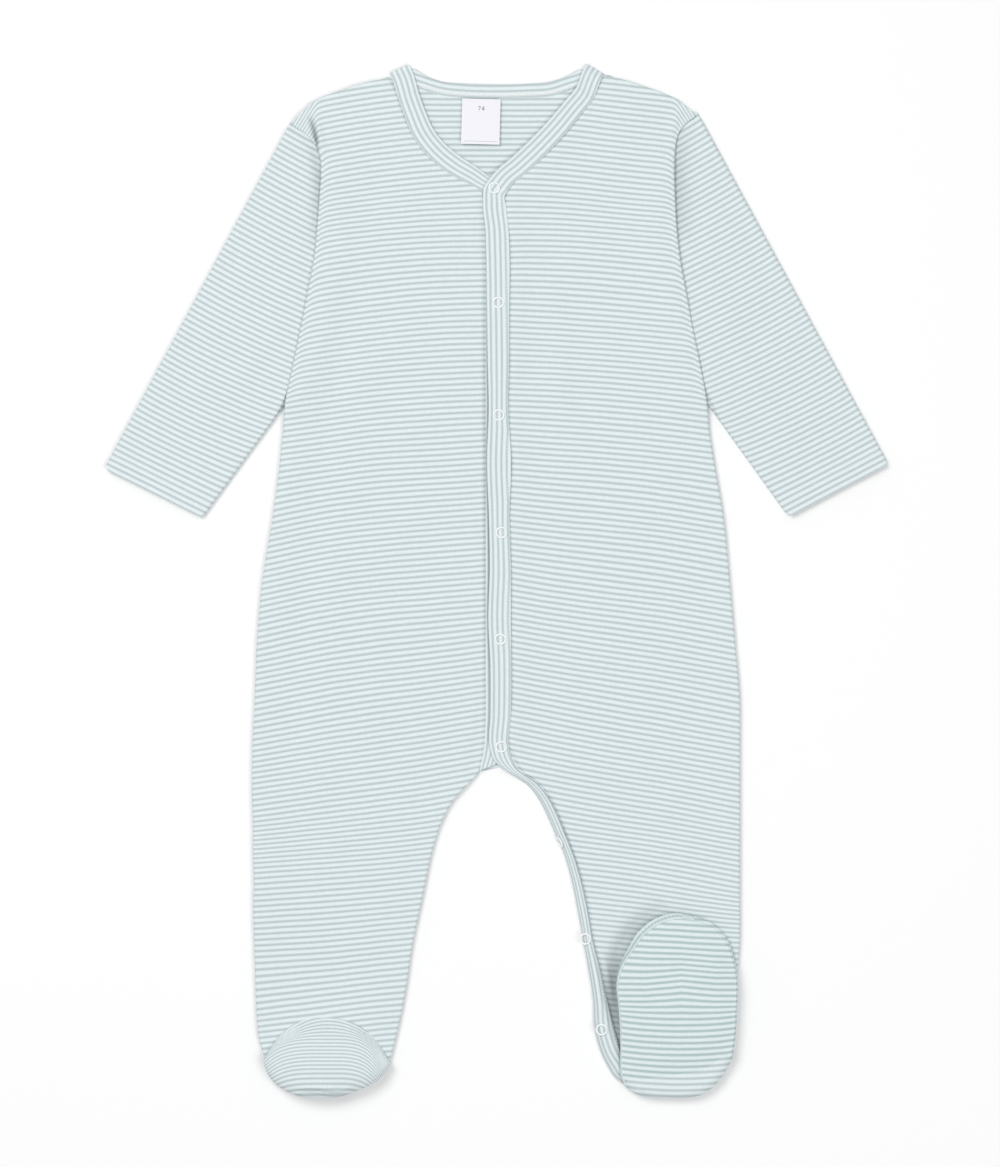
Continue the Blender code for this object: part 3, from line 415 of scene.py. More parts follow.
# %% The fronts' sections
# Each front panel, from the shoulder to the ankle. A row is one section, from its inner end at the neck,
# placket or inner leg to its outer end at the shoulder, armhole or side seam. The three tops are the heights
# of the cloth's face at both ends and between them. bow lifts the middle of a row towards the neck. Turns are
# in degrees: 180 is a full fold, and tuck is how far the cloth runs back under it.
FRONT_COLUMNS = "ix iy ox oy inner_top tuck outer_top middle_top bow inner_turn outer_turn"
FRONT_RIGHT = table(FRONT_COLUMNS, [
    (-67.2, 316.9, -118.0, 300.4, 3.4, 0.3, 3.0, 3.2, 2.0, 20, 20),
    (-64.3, 310.9, -124.0, 294.4, 3.4, 0.3, 3.5, 3.4, 1.0),
    (-61.6, 304.0, -128.2, 288.6, 3.4, 0.3, 3.5, 3.4, 0.0), (-59.3, 296.8, -121.1, 283.0),
    (-56.2, 288.8, -115.4, 276.9, 3.4, 0.3, 3.7, 3.4, 0.0, 20, 25),
    (-51.9, 280.2, -111.4, 268.2, 3.4, 0.3, 5.0, 3.3, 0.0, 20, 90),
    (-44.6, 270.2, -110.6, 257.5, 3.4, 2.4, FOLD_TOP, 3.2, 0.0, 20, 180),
    (-35.8, 262.1, -111.2, 247.0, 3.4, 5.0, FOLD_TOP, 3.1),
    (-24.5, 254.6, -112.0, 236.0, 3.3, 7.0, FOLD_TOP, 3.0), (-9.0, 246.4, -113.2, 222.0, 3.2, 9.4),
    (-8.6, 224.0, -114.8, 205.5, 3.1, 10.8), (-7.6, 200.0, -118.4, 185.5, 3.1, 12.2),
    (-7.5, 170.0, -123.5, 160.0, 3.1, 11.6), (-7.5, 140.0, -128.9, 134.0, 3.1, 8.2),
    (-7.5, 114.0, -133.4, 111.5, 3.1, 2.0, 5.9), (-7.5, 97.0, -134.4, 98.0, 3.1, 0.8, SEAM_TOP),
    (-7.5, 76.7, -136.4, 76.7), (-7.5, 40.0, -141.2, 40.0), (-7.5, 0.0, -147.7, 0.0),
    (-7.5, -37.0, -150.9, -37.0), (-7.5, -75.0, -152.4, -75.0), (-8.3, -104.0, -153.8, -104.0),
    (-11.2, -119.8, -154.0, -122.0, 3.4, 0.8, SEAM_TOP, 3.0, 0.0, 90),
    (-17.2, -126.6, -154.0, -134.0, SEAM_TOP, 0.8, SEAM_TOP, 3.0, 0.0, 180),
    (-27.0, -137.5, -153.7, -146.0), (-34.0, -150.0, -153.4, -157.0), (-39.5, -166.0, -153.4, -170.0),
    (-44.4, -188.0, -152.9, -189.0), (-48.6, -208.0, -153.3, -208.0),
    (-53.0, -229.0, -152.6, -229.0, SEAM_TOP, 0.8, SEAM_TOP, 3.1),
    (-56.0, -250.0, -152.0, -250.0, SEAM_TOP, 0.8, SEAM_TOP, 3.4),
    (-60.0, -272.0, -151.2, -271.5, SEAM_TOP, 0.8, SEAM_TOP, 4.6, 9.5),
    (-63.6, -288.0, -149.8, -287.5, SEAM_TOP, 0.8, SEAM_TOP, 6.0, 18.0),
    (-67.0, -301.4, -146.4, -299.4, SEAM_TOP, 0.8, SEAM_TOP, 7.2, 25.6),
])
FRONT_LEFT = table(FRONT_COLUMNS, [
    (68.0, 318.4, 116.0, 302.2, 3.4, 0.3, 3.0, 3.2, 1.5, 20, 20),
    (65.7, 314.4, 121.4, 298.0, 3.4, 0.3, 3.5, 3.4, 1.0),
    (63.9, 310.0, 125.2, 293.9, 3.4, 0.3, 3.5, 3.4, 0.0), (61.0, 304.9, 120.2, 289.6),
    (56.6, 299.2, 115.4, 283.8, 3.5, 0.3, 3.7, 3.4, 0.0, 20, 25),
    (50.2, 290.4, 112.8, 273.2, 3.6, 0.3, 5.0, 3.3, 0.0, 20, 90),
    (43.7, 282.0, 112.2, 262.0, 3.7, 2.4, FOLD_TOP, 3.2, 0.0, 20, 180),
    (35.5, 273.2, 112.3, 249.5, 3.9, 5.0, FOLD_TOP, 3.1),
    (23.5, 262.0, 112.8, 237.0, 4.2, 7.0, FOLD_TOP, 3.0), (11.0, 251.2, 113.6, 223.0, 4.6, 8.8),
    (5.9, 241.4, 115.3, 207.0, 4.7, 10.6), (8.9, 212.0, 119.0, 186.0, 4.7, 12.2),
    (8.8, 171.0, 123.7, 160.0, 4.7, 11.6), (8.6, 140.0, 129.0, 134.0, 4.7, 8.2),
    (8.2, 112.0, 132.8, 111.5, 4.7, 2.0, 5.9), (8.6, 97.0, 133.9, 98.0, 4.7, 0.8, SEAM_TOP),
    (9.9, 76.7, 137.0, 76.7), (8.8, 40.0, 143.2, 40.0), (9.8, 5.0, 147.0, 0.0), (9.8, -30.0, 150.2, -37.0),
    (9.9, -75.0, 153.3, -75.0), (8.4, -103.0, 153.4, -104.0), (16.8, -120.2, 153.4, -122.0, 4.4),
    (24.2, -125.0, 153.4, -134.0, 4.0), (32.0, -133.4, 153.4, -146.0, 3.7),
    (38.3, -144.8, 153.4, -157.0, 3.5), (43.5, -157.5, 153.4, -168.0, 3.4),
    (49.6, -173.4, 153.4, -182.0, 3.3), (57.6, -202.2, 153.4, -204.0), (60.6, -222.6, 153.4, -223.0),
    (65.9, -243.2, 152.2, -243.0), (70.9, -266.5, 151.3, -266.0, 3.2), (76.4, -287.5, 150.2, -287.5, 3.0),
    (80.4, -299.0, 149.2, -297.5),
])
print("front sections:", len(FRONT_RIGHT), len(FRONT_LEFT))

# %% [markdown]
# Stripes run level round a body that isn't there, so on the flat suit they slope a little, more towards the
# sides and least at the middle. The table gives those slopes in degrees, and how far a stripe has sunk at
# some distance from the middle is what they add up to.

# %% How far the stripes sink towards the sides
SLOPES_OUT = (0.0, 15.0, 60.0, 95.0, 125.0, 160.0)
SLOPES_RIGHT = {
    253: (3, 6, 10, 11), 209: (0, 5, 8, 10), 165: (1, 6, 8, 11), 121: (2, 4.5, 8, 8), 77: (4, 3, 8, 8),
    33: (4, 5, 7, 12), -11.5: (5, 4.5, 8, 12), -55.6: (8, 6, 8, 11), -99.7: (10, 8, 8, 10),
    -143.8: (12, 7, 7, 8), -188: (8, 6, 4.5, 4), -232: (7, 6, 6, 3), -276: (11, 4, 7, 7),
}
SLOPES_LEFT = {
    253: (1, 7, 6, 8), 209: (-1, 4.5, 6, 5), 165: (3, 4, 6, 4), 121: (2, 4, 5.5, 7), 77: (4, 4, 6, 7),
    33: (7, 5, 6.5, 9), -11.5: (10, 7, 7, 9.5), -55.6: (10.5, 8.5, 8, 10), -99.7: (12, 10, 9, 10),
    -143.8: (12, 9.5, 9, 11), -188: (11, 6, 9, 11), -232: (8, 6, 6, 4),
}


def add_up(steps, degrees):
    """How far a line has sunk at each step, where it slopes by these degrees."""
    slope = np.tan(np.radians(degrees))
    return np.concatenate([[0.0], np.cumsum((slope[1:] + slope[:-1]) / 2 * np.diff(steps))])


def sinking(slopes, x, y):
    """How far a stripe that crosses the middle has sunk at these places."""
    heights = sorted(slopes)
    steps = np.linspace(0.0, SLOPES_OUT[-1], 81)
    sunk = []
    for height in heights:
        first, *middle, last = slopes[height]
        degrees = np.interp(steps, SLOPES_OUT, (first, first, *middle, last, last))
        sunk.append(np.interp(np.abs(x), steps, add_up(steps, degrees)))
    sunk = np.stack(sunk)
    at = np.interp(y, heights, np.arange(len(heights)))
    low = np.minimum(at.astype(int), len(heights) - 2)
    part = ease(at - low)
    here = np.take_along_axis(sunk, low[None], 0)[0]
    above = np.take_along_axis(sunk, low[None] + 1, 0)[0]
    return mix(here, above, part)


print("sunk at the side seam:", sinking(SLOPES_RIGHT, np.array([140.0]), np.array([0.0])).round(1), "mm")

# %% [markdown]
# Laid by hand, the cloth keeps soft troughs and ridges. Each crease below is a line with a width and a depth,
# and it fades out at both ends. One side of a real crease is steeper than the other, so a shallow ridge lies
# beside each trough. Between the creases the cloth is never quite flat either: a few long low waves in
# directions drawn from a fixed seed do that.


# %% Creases and soft waves
# The ridge beside a trough, in the trough's own measures: how far off, how wide and how high.
RIDGE = (1.7, 1.3, 0.45)
LINE_STEPS = 24
print("a crease's line is followed in", LINE_STEPS, "points")


def distance_to(line, x, y):
    """How far each place is from a line, on which side, and a strength that fades towards the line's ends."""
    points = smooth_line(line, LINE_STEPS)
    nearest = np.full(x.shape, 1e9)
    side = np.zeros(x.shape)
    along = np.zeros(x.shape)
    count = len(points) - 1
    for k in range(count):
        start, run = points[k], points[k + 1] - points[k]
        share = ((x - start[0]) * run[0] + (y - start[1]) * run[1]) / float(np.hypot(*run)) ** 2
        share = np.clip(share, 0.0, 1.0)
        dx, dy = x - start[0] - share * run[0], y - start[1] - share * run[1]
        far = np.hypot(dx, dy)
        better = far < nearest
        nearest = np.where(better, far, nearest)
        side = np.where(better, np.sign(run[0] * dy - run[1] * dx), side)
        along = np.where(better, (k + share) / count, along)
    return nearest, side, np.sin(math.pi * np.clip(along, 0.0, 1.0)) ** 0.6


def creased(creases, x, y):
    """The height that a list of creases adds at each place."""
    height = np.zeros(x.shape)
    off, wide, high = RIDGE
    for width, depth, *line in creases:
        far, side, fade = distance_to(line, x, y)
        beside = np.exp(-(((far * side - off * width) / (wide * width)) ** 2))
        height += fade * depth * (np.exp(-((far / width) ** 2)) - high * beside)
    return height


def mark(piece, hollow=(), crowded=()):
    """Note on each point how near it lies to the lines of each mark, which have a width and a strength:
    painted shade, which darkens the cloth's colour in deep folds, and crowding, which hides its dark stripes.
    """
    spots = np.array([vertex.co for vertex in piece.data.vertices]) / MM + MIDDLE
    for name, lines in (("hollow", hollow), ("crowded", crowded)):
        share = np.zeros(len(spots))
        for width, most, *line in lines:
            far, _, fade = distance_to(line, spots[:, 0], spots[:, 1])
            share = np.maximum(share, most * fade * np.exp(-((far / width) ** 2)))
        layer = piece.data.attributes.new(name, "FLOAT", "POINT")
        layer.data.foreach_set("value", share.astype(np.float32))


def waves(x, y, seed, height, shortest, longest, count=14):
    """Low waves in every direction, the same each time for one seed."""
    chance = np.random.default_rng(seed)
    total = np.zeros(x.shape)
    for _ in range(count):
        angle, phase = chance.uniform(0, 2 * math.pi, 2)
        length = chance.uniform(shortest, longest)
        along = x * math.cos(angle) + y * math.sin(angle)
        total += np.cos(along * 2 * math.pi / length + phase)
    return height * total / math.sqrt(count)


FINE_WAVES = (0.06, 9.0, 17.0, 24)
# The creases on each front: width, depth and line.
CREASES_RIGHT = [
    (1.7, -2.6, (-117.2, 294.5), (-115.4, 286.5), (-114.0, 279), (-112.6, 268)),
    (9.0, -1.0, (-89, 187), (-98.6, 146), (-108, 80), (-112.5, 51.5), (-118.8, -11.5), (-125, -68),
     (-136, -131)),
    (5.0, -0.7, (-14, -62), (-22, -95), (-33, -134)),
    (7.0, 0.9, (-4, -43), (-16, -90), (-28, -128)),
    (6.0, -0.5, (-60, 205), (-38, 160), (-30, 120)),
    (7.0, -0.5, (-60, -150), (-80, -168), (-120, -176)),
    (6.0, 0.5, (-140, -30), (-118, -60), (-84, -74)),
    (5.0, -0.4, (-70, -236), (-100, -244), (-134, -240)),
    (8.0, 0.5, (-30, 40), (-62, 30), (-92, 8)),
]
CREASES_LEFT = [
    (2.4, 0.7, (116, 299), (113.2, 290.5), (112, 280), (111.6, 268)),
    (7.0, -0.7, (65, -24), (108, -50), (150, -81)),
    (8.0, 0.7, (26, 200), (40, 150), (38, 96)),
    (6.0, -0.6, (100, 196), (104, 150), (112, 110)),
    (6.0, -0.5, (30, -116), (62, -128), (112, -126)),
    (8.0, 0.5, (60, 60), (96, 40), (134, 36)),
    (6.0, -0.5, (74, -168), (100, -182), (140, -190)),
    (5.0, -0.4, (22, 30), (46, 4), (58, -34)),
    (4.6, -1.5, (90, -216), (77, -234), (72.4, -252), (73.6, -274), (77, -292)),
]
# Painted shade in the deepest folds, where little light reaches the cloth: its colour is darkened along these
# lines. Width, strength and line.
PAINTED_SHADE_RIGHT = [
    (1.1, 0.6, (-117.6, 293), (-115.6, 286.5), (-113.8, 279), (-112.4, 269)),
    (1.2, 0.25, (-10.4, 246), (-8.8, 222), (-7.8, 140), (-7.4, 40), (-7.4, -60), (-8.0, -118)),
]
PAINTED_SHADE_LEFT = [
    (5.0, 0.5, (76, -226), (73.2, -244), (72.6, -262), (73.4, -280), (78, -306)),
    (5.5, 0.22, (108, -203), (92, -212), (80, -224), (74, -240), (73, -256)),
]
print("creases on the fronts:", len(CREASES_RIGHT) + len(CREASES_LEFT))

# %% [markdown]
# Now the grids themselves. At a seam the cloth dips and runs on under the binding. At a free edge
# rolled_edge() turns it round, and it also says how far along the cloth each point lies, so that the
# stripes pass round the fold without a jump.

# %% Edges of a section
FRONT_ACROSS = 74
OUTER_FALL = 15.0   # how soon the height falls from the outer edge to the middle's
INNER_FALL = 9.0    # and from the inner edge
EDGE_TUCK = 0.5     # how far a front's inner edge runs back under itself
SEAM_START = 2.4    # this far inside a seam's line its own points start
SEAM_DIP = -1.7     # and here the cloth starts to dip
SEWN_TURN = 20.0    # an edge that turns no further is sewn down, one at 90 or more is rolled
DOME = 2.9          # how full the arch over the toes is: 2 is a parabola


def rolled_edge(end, way, top, turn, tuck):
    angle = math.radians(turn)
    reach = ROLL if turn >= 90 else ROLL * math.sin(angle) + tuck * math.cos(angle)
    centre = np.array([end[0], end[1], top - ROLL]) - way * reach
    a = np.linspace(0.0, angle, ROLL_STEPS + 1)[:, None]
    arc = centre + ROLL * (way * np.sin(a) + UP * np.cos(a))
    under = arc[-1] + tuck * (way * math.cos(angle) - UP * math.sin(angle))
    along = np.append(ROLL * a[:, 0], ROLL * angle + tuck)
    return np.vstack([arc, under]), along


def seam_edge(end, way, top, reach, dip):
    """The cloth where it is sewn under a binding: how far it runs on and how deep it dips."""
    out = np.linspace(-SEAM_START, reach, ROLL_STEPS + 2)
    fall = dip * rising(out, SEAM_DIP, reach + 1.0)
    points = np.array([end[0], end[1], top]) + way * out[:, None] - UP * fall[:, None]
    return points, lengths_along(points)


def close_at_ends(even, much):
    """Shares from 0 to 1, moved closer together at both ends."""
    return even - much * np.sin(2 * math.pi * even)


def front_section(row):
    """The points of one section and the flat places of the cloth at them."""
    inner, outer = np.array([row.ix, row.iy, 0.0]), np.array([row.ox, row.oy, 0.0])
    length = np.linalg.norm(outer - inner)
    way = (outer - inner) / length
    rolled, rolled_along = rolled_edge(inner, -way, row.inner_top, row.inner_turn, EDGE_TUCK)
    sewn, sewn_along = seam_edge(inner, -way, row.inner_top, row.reach, row.dip)
    free = rising(row.inner_turn, SEWN_TURN, 90.0 - SEWN_TURN)
    inner_edge, inner_along = mix(sewn, rolled, free), mix(sewn_along, rolled_along, free)
    outer_edge, outer_along = rolled_edge(outer, way, row.outer_top, row.outer_turn, row.tuck)
    even = np.linspace(0.0, 1.0, FRONT_ACROSS + 2)[1:-1]
    share = close_at_ends(even, 0.07)[:, None]
    start, stop = inner_edge[0], outer_edge[0]
    run = mix(start, stop, share)
    from_outer = (1 - share[:, 0]) * length
    near_outer = 1.0 / (1.0 + (np.maximum(from_outer - row.tuck - ROLL, 0.0) / OUTER_FALL) ** 2)
    near_inner = 1.0 / (1.0 + (share[:, 0] * length / INNER_FALL) ** 2)
    run[:, 1] += row.bow * (1 - np.abs(2 * share[:, 0] - 1) ** DOME)
    run[:, 2] = row.middle_top + (row.outer_top - row.middle_top) * near_outer
    run[:, 2] += (row.inner_top - row.middle_top) * near_inner * (1 - near_outer)
    points = np.vstack([inner_edge[::-1], run, outer_edge])
    flat_inner = start[:2] - way[:2] * inner_along[::-1, None]
    flat_outer = stop[:2] + way[:2] * outer_along[:, None]
    return points, np.vstack([flat_inner, run[:, :2], flat_outer])


# %% [markdown]
# Two more things turn the stripes. Beyond the corner of each shoulder they bend steeply down towards the
# sleeve's seam, and close to a fold at the armhole they droop into it. The front's last millimetre at the
# sleeve seam is the seam's own light edge.

# %% Build the fronts
SHOULDER_CORNER = 113.0
SHOULDER_BEND = 1.45
BEND_FROM = (264.0, 10.0)
DROOP = 2.3
DROOP_REACH = 2.6
DROOP_FROM = (108.0, 16.0)
DROOP_TO = (276.0, -10.0)
# Where the band laps over a front's edge, and how far the cloth reaches under it and dips: sewn on, and
# lapped.
LAP_FROM = (244.0, -12.0)
LAP_TO = (-110.0, 8.0)
LAP_REACH = (1.9, 3.4)
LAP_DIP = (1.45, 0.5)
LONG_WAVES = (0.22, 34.0, 90.0)
DEEPEST = -2.0      # the creases and waves together go no deeper
# Rows past both ends of the grid: how far out, how far up, and how far on across the stripes.
SHOULDER_ROWS = ((-0.3, -1.9, 2.9), (0.5, -1.5, 2.0), (0.8, -0.85, 1.2), (0.55, -0.3, 0.5))
HEM_ROWS = ((-0.25, -0.15, -0.3), (-0.7, -0.75, -1.0), (-1.1, -1.5, -1.9))
LOWEST_ROW = 1.25


def edge_rows(beside, steps):
    """Rows that carry the cloth on over an end of the grid: outwards and down from the row at that end."""
    way = beside[-1] - beside[0]
    out = np.array([-way[1], way[0], 0.0]) / np.linalg.norm(way[:2])
    out *= math.copysign(1.0, out[1])
    rows = np.array([beside + out * step + UP * rise for step, rise, _ in steps])
    rows[..., 2] = np.maximum(rows[..., 2], LOWEST_ROW)
    return rows


def stripe_places(places, rows, slopes):
    """Where each point lies across the stripes."""
    x, y = places[..., 0], places[..., 1]
    v = y + sinking(slopes, x, y)
    beyond = np.abs(x) - SHOULDER_CORNER
    bend = (beyond + np.sqrt(beyond**2 + 3.0)) / 2
    v += SHOULDER_BEND * bend * rising(y, *BEND_FROM)
    outer = places[:, -ROLL_STEPS - 2]
    far = np.linalg.norm(places - outer[:, None], axis=2)
    far[:, -ROLL_STEPS - 2:] = 0.0
    end = np.array([row.oy for row in rows])
    folded = rising(end, *DROOP_FROM) * rising(end, *DROOP_TO)
    return v + DROOP * np.exp(-far / DROOP_REACH) * folded[:, None]


def front(name, rows, slopes, creases, painted_shade_lines, seed, facing, overlap):
    """One front with its leg. overlap is 1 where the band laps well over it, 0 where it is only sewn on."""
    sections = refine(rows, 8, "ix iy ox oy", ("inner_turn", "outer_turn", "tuck"))
    for row in sections:
        over = overlap * rising(row.iy, *LAP_FROM) * rising(row.iy, *LAP_TO)
        row.reach, row.dip = mix(*LAP_REACH, over), mix(*LAP_DIP, over)
    made = [front_section(row) for row in sections]
    grid = np.array([points for points, _ in made])
    places = np.array([flat for _, flat in made])
    x, y = places[..., 0], places[..., 1]
    edge = ROLL_STEPS + 2
    calm = np.zeros(grid.shape[1])
    calm[edge:-edge] = ease(np.arange(FRONT_ACROSS) / 5) * ease(np.arange(FRONT_ACROSS)[::-1] / 5)
    relief = creased(creases, x, y)
    relief += waves(x, y, seed, *LONG_WAVES) + waves(x, y, seed + 1, *FINE_WAVES)
    grid[..., 2] += np.maximum(relief * calm, DEEPEST)
    v = stripe_places(places, sections, slopes)
    grid = np.concatenate([edge_rows(grid[0], SHOULDER_ROWS), grid, edge_rows(grid[-1], HEM_ROWS)])
    above, below = ([[on] for _, _, on in steps] for steps in (SHOULDER_ROWS, HEM_ROWS))
    x = np.pad(x, ((len(above), len(below)), (0, 0)), "edge")
    cloth = np.stack([x, np.concatenate([v[:1] + above, v, v[-1:] + below])], axis=-1)
    print(f"{name}: {grid.shape[0]} sections, relief {relief.min():.2f} to {relief.max():.2f} mm")
    made = shell(name, grid, cloth, jersey_with_painted_shade, facing)
    mark(made, painted_shade_lines)
    return made


front_right = front("right_front", FRONT_RIGHT, SLOPES_RIGHT, CREASES_RIGHT, PAINTED_SHADE_RIGHT, 11, -1, 1.0)
front_left = front("left_front", FRONT_LEFT, SLOPES_LEFT, CREASES_LEFT, PAINTED_SHADE_LEFT, 23, 1, 0.0)


# %% [markdown]
# ## The sleeves
# A sleeve is a tube of cloth pressed flat, open at the cuff and at the armhole, and folded in under the
# body at the armhole. Its grid goes round the tube: over the top face from one long fold to the other, and
# back underneath. The stripes were knitted parallel to the cuff, so v is the distance from the cuff.

# %% The sleeves' tables
# A sleeve's armhole end, from the shoulder tip down to the armpit, and the part of each sleeve that the
# folded body covers there. The cuff is a straight line from the first point to the second.
SLEEVE_COLUMNS = "x y cover"
SLEEVE_RIGHT = table(SLEEVE_COLUMNS, [
    (-130.6, 288.2, 0.0), (-121.6, 282.6), (-113.4, 271.9), (-108.2, 258.0, 3.0), (-104.7, 240.0, 7.0),
    (-103.4, 220.0, 10.5), (-103.5, 200.0, 12.5), (-106.0, 180.0, 13.5), (-111.0, 160.0, 13.0),
    (-117.2, 142.0, 12.0), (-122.5, 126.4, 22.0),
])
SLEEVE_LEFT = table(SLEEVE_COLUMNS, [
    (128.0, 293.6, 0.0), (121.6, 289.8), (115.4, 279.0), (110.9, 265.0, 3.0), (106.9, 246.0, 7.0),
    (104.4, 226.0, 10.5), (103.9, 204.0, 12.5), (106.2, 182.0, 13.5), (111.2, 160.0, 13.0),
    (117.3, 142.0, 12.0), (122.6, 126.4, 22.0),
])
CUFF_RIGHT = ((-247.2, 71.2), (-184.8, 40.2))
CUFF_LEFT = ((247.0, 74.2), (183.6, 40.8))
SLEEVE_EDGE = 4.4   # height of the folded sleeve along its two long edges
SLEEVE_FACE = 3.7   # and between them
SLEEVE_LOW = 2.2    # and where the body is folded over it
SLEEVE_UNDER = 3.0  # how far the sleeve runs on in under the body
SHOULDER_RISE = 4.0     # how soon it is at its full height at the shoulder
CUFF_CORNER = 2.8
HEM = 9.5
HEM_RISE = 0.4
HEM_STITCHES = (8.3, 10.3)
# How the stripes slope across the sleeve: share of its width and degrees.
SLEEVE_TURN = ((0.0, -4.5), (0.5, 3.6), (1.0, 6.0))
print("points along the armholes:", len(SLEEVE_RIGHT), len(SLEEVE_LEFT))

# %% Build the sleeves
SLEEVE_LONG = 110
SLEEVE_WIDE = 44
FOLD_ANGLES = np.linspace(0.0, math.pi, 11)
BY_FOLD = 0.04      # the share of the width over which a fold's direction is taken
FOLD_CLEAR = 1.04   # the face starts this many radii in from its folds
SLEEVE_WAVES = (0.2, 30.0, 80.0)
SLEEVE_DEEPEST = -0.9
CREASES_SLEEVE_RIGHT = [
    (5.0, -0.8, (-121, 236), (-118, 205), (-122, 170)),
    (7.0, -0.6, (-136, 262), (-160, 214), (-186, 170)),
    (6.0, 0.6, (-128, 172), (-152, 140), (-186, 96)),
    (6.0, -0.5, (-150, 118), (-176, 112), (-214, 108)),
    (5.0, 0.5, (-190, 206), (-206, 160), (-226, 116)),
]
CREASES_SLEEVE_LEFT = [
    (6.0, -0.9, (124, 240), (121, 205), (126, 164)),
    (7.0, -0.6, (140, 262), (160, 220), (178, 160)),
    (6.0, 0.6, (140, 180), (160, 130), (190, 84)),
    (6.0, -0.5, (160, 116), (184, 120), (220, 118)),
    (5.0, 0.5, (188, 208), (208, 164), (222, 120)),
]
# Painted shade on each sleeve beside the body's fold over it: width, strength and line.
PAINTED_SHADE_SLEEVE_RIGHT = [(4.5, 0.16, (-117, 276), (-113, 258), (-113, 238), (-115, 208))]
PAINTED_SHADE_SLEEVE_LEFT = [(7.5, 0.16, (118, 288), (114, 268), (114, 246), (116, 212))]


def sleeve(name, armhole, cuff, rise, creases, painted_shade_lines, seed, facing):
    """One sleeve and its hem's lines. rise is how far past the armhole it reaches its full height."""
    ends = np.array([(row.x, row.y, row.cover) for row in armhole], float)
    knots = np.linspace(0.0, 1.0, len(ends))
    cuff = np.array(cuff, float)
    hem_way = (cuff[1] - cuff[0]) / np.linalg.norm(cuff[1] - cuff[0])
    up_way = np.array([-hem_way[1], hem_way[0]]) * math.copysign(1.0, hem_way[0])
    hem_wide = np.linalg.norm(cuff[1] - cuff[0])

    def place(share, along):
        """Where the flat sleeve is at a share of its width and length, and how far from the armhole."""
        start = cubic(knots, ends, share)
        corner = np.minimum(np.minimum(share, 1 - share) * hem_wide / CUFF_CORNER, 1.0)
        back = CUFF_CORNER * (1 - np.sqrt(1 - (1 - corner) ** 2))
        stop = mix(cuff[0], cuff[1], share[:, None]) + up_way * back[:, None]
        run = stop - start[:, :2]
        length = np.linalg.norm(run, axis=1)
        first = start[:, :2] - run / length[:, None] * SLEEVE_UNDER
        return mix(first, stop, along), (length + SLEEVE_UNDER) * along - SLEEVE_UNDER, start[:, 2]

    def top(share, along, across_face):
        _, far, cover = place(share, along)
        full = SLEEVE_FACE + (SLEEVE_EDGE - SLEEVE_FACE) * np.abs(2 * across_face - 1) ** 3
        low = SLEEVE_LOW - 0.3 * ease(-far / SLEEVE_UNDER)
        return mix(low, full, rising(far, cover, mix(SHOULDER_RISE, rise, ease(share * 3))))

    even = close_at_ends(np.linspace(0.0, 1.0, SLEEVE_WIDE), 0.05)
    rings, shares, on_face, above = [], [], [], []
    for along in np.linspace(0.0, 1.0, SLEEVE_LONG + 1):
        folds, limits = [], []
        for side, next_to in ((0.0, BY_FOLD), (1.0, 1 - BY_FOLD)):
            pair = np.array([side, next_to])
            spots, _, _ = place(pair, along)
            radius = top(pair, along, pair)[0] / 2
            way = spots[0] - spots[1]
            apart = np.linalg.norm(way)
            way = np.append(way / apart, 0.0)
            centre = np.append(spots[0], radius) - way * radius
            a = FOLD_ANGLES[:, None]
            folds.append(centre + radius * (way * np.sin(a) - UP * np.cos(a)))
            limits.append(side + (next_to - side) * FOLD_CLEAR * radius / apart)
        across = mix(limits[0], limits[1], even)
        spots, _, _ = place(across, along)
        face = np.column_stack([spots, top(across, along, even)])
        under = np.column_stack([spots, np.zeros(len(across))])
        rings.append(np.vstack([folds[0], face, folds[1][::-1], under[::-1]]))
        ones = np.ones(len(FOLD_ANGLES))
        shares.append(np.concatenate([0 * ones, across, ones, across[::-1]]))
        on_face.append(np.concatenate([0 * ones, even, ones, even[::-1]]))
        above.append(np.concatenate([0 * ones, ones[0] + 0 * across, 0 * ones, 0 * across]))
    grid, shares, on_face, above = (np.array(part) for part in (rings, shares, on_face, above))
    x, y = grid[..., 0], grid[..., 1]
    from_cuff = (x - cuff[0, 0]) * up_way[0] + (y - cuff[0, 1]) * up_way[1]
    across_cuff = (x - cuff[0, 0]) * hem_way[0] + (y - cuff[0, 1]) * hem_way[1]
    from_fold = np.minimum(on_face, 1 - on_face)
    relief = creased(creases, x, y) + waves(x, y, seed, *SLEEVE_WAVES)
    relief += waves(x, y, seed + 1, *FINE_WAVES)
    settled = ease(np.linspace(0.0, 1.0, SLEEVE_LONG + 1) * 14)[:, None] * ease((from_cuff - 2) / 14)
    grid[..., 2] += above * ease(from_fold * 9) * settled * np.maximum(relief, SLEEVE_DEEPEST)
    in_hem = ease((HEM - from_cuff) / 0.8 + 0.5)
    grid[..., 2] += above * in_hem * HEM_RISE * ease(from_fold * 16)
    steps = np.linspace(0.0, 1.0, 41)
    total = add_up(steps, np.interp(steps, *zip(*SLEEVE_TURN)))
    widest = np.maximum(np.ptp(across_cuff, axis=1)[:, None], hem_wide)
    lift = np.interp(shares, steps, total) * widest * ease(from_cuff / 60)
    cloth = np.stack([across_cuff, from_cuff - lift], axis=-1)
    print(f"{name}: {grid.shape[0]} rings of {grid.shape[1]} points, {widest.max():.0f} mm at its widest")
    hems = [round_sleeve(grid, from_cuff, distance) for distance in HEM_STITCHES]
    made = shell(name, grid, cloth, jersey_with_painted_shade, facing, closed=True)
    mark(made, painted_shade_lines)
    return made, hems


def round_sleeve(grid, from_cuff, distance):
    """A line once round the sleeve at one distance from the cuff."""
    lines = []
    for column in range(grid.shape[1]):
        far, line = from_cuff[::-1, column], grid[::-1, column]
        lines.append([np.interp(distance, far, line[:, axis]) for axis in range(3)])
    return np.array(lines + lines[:1])


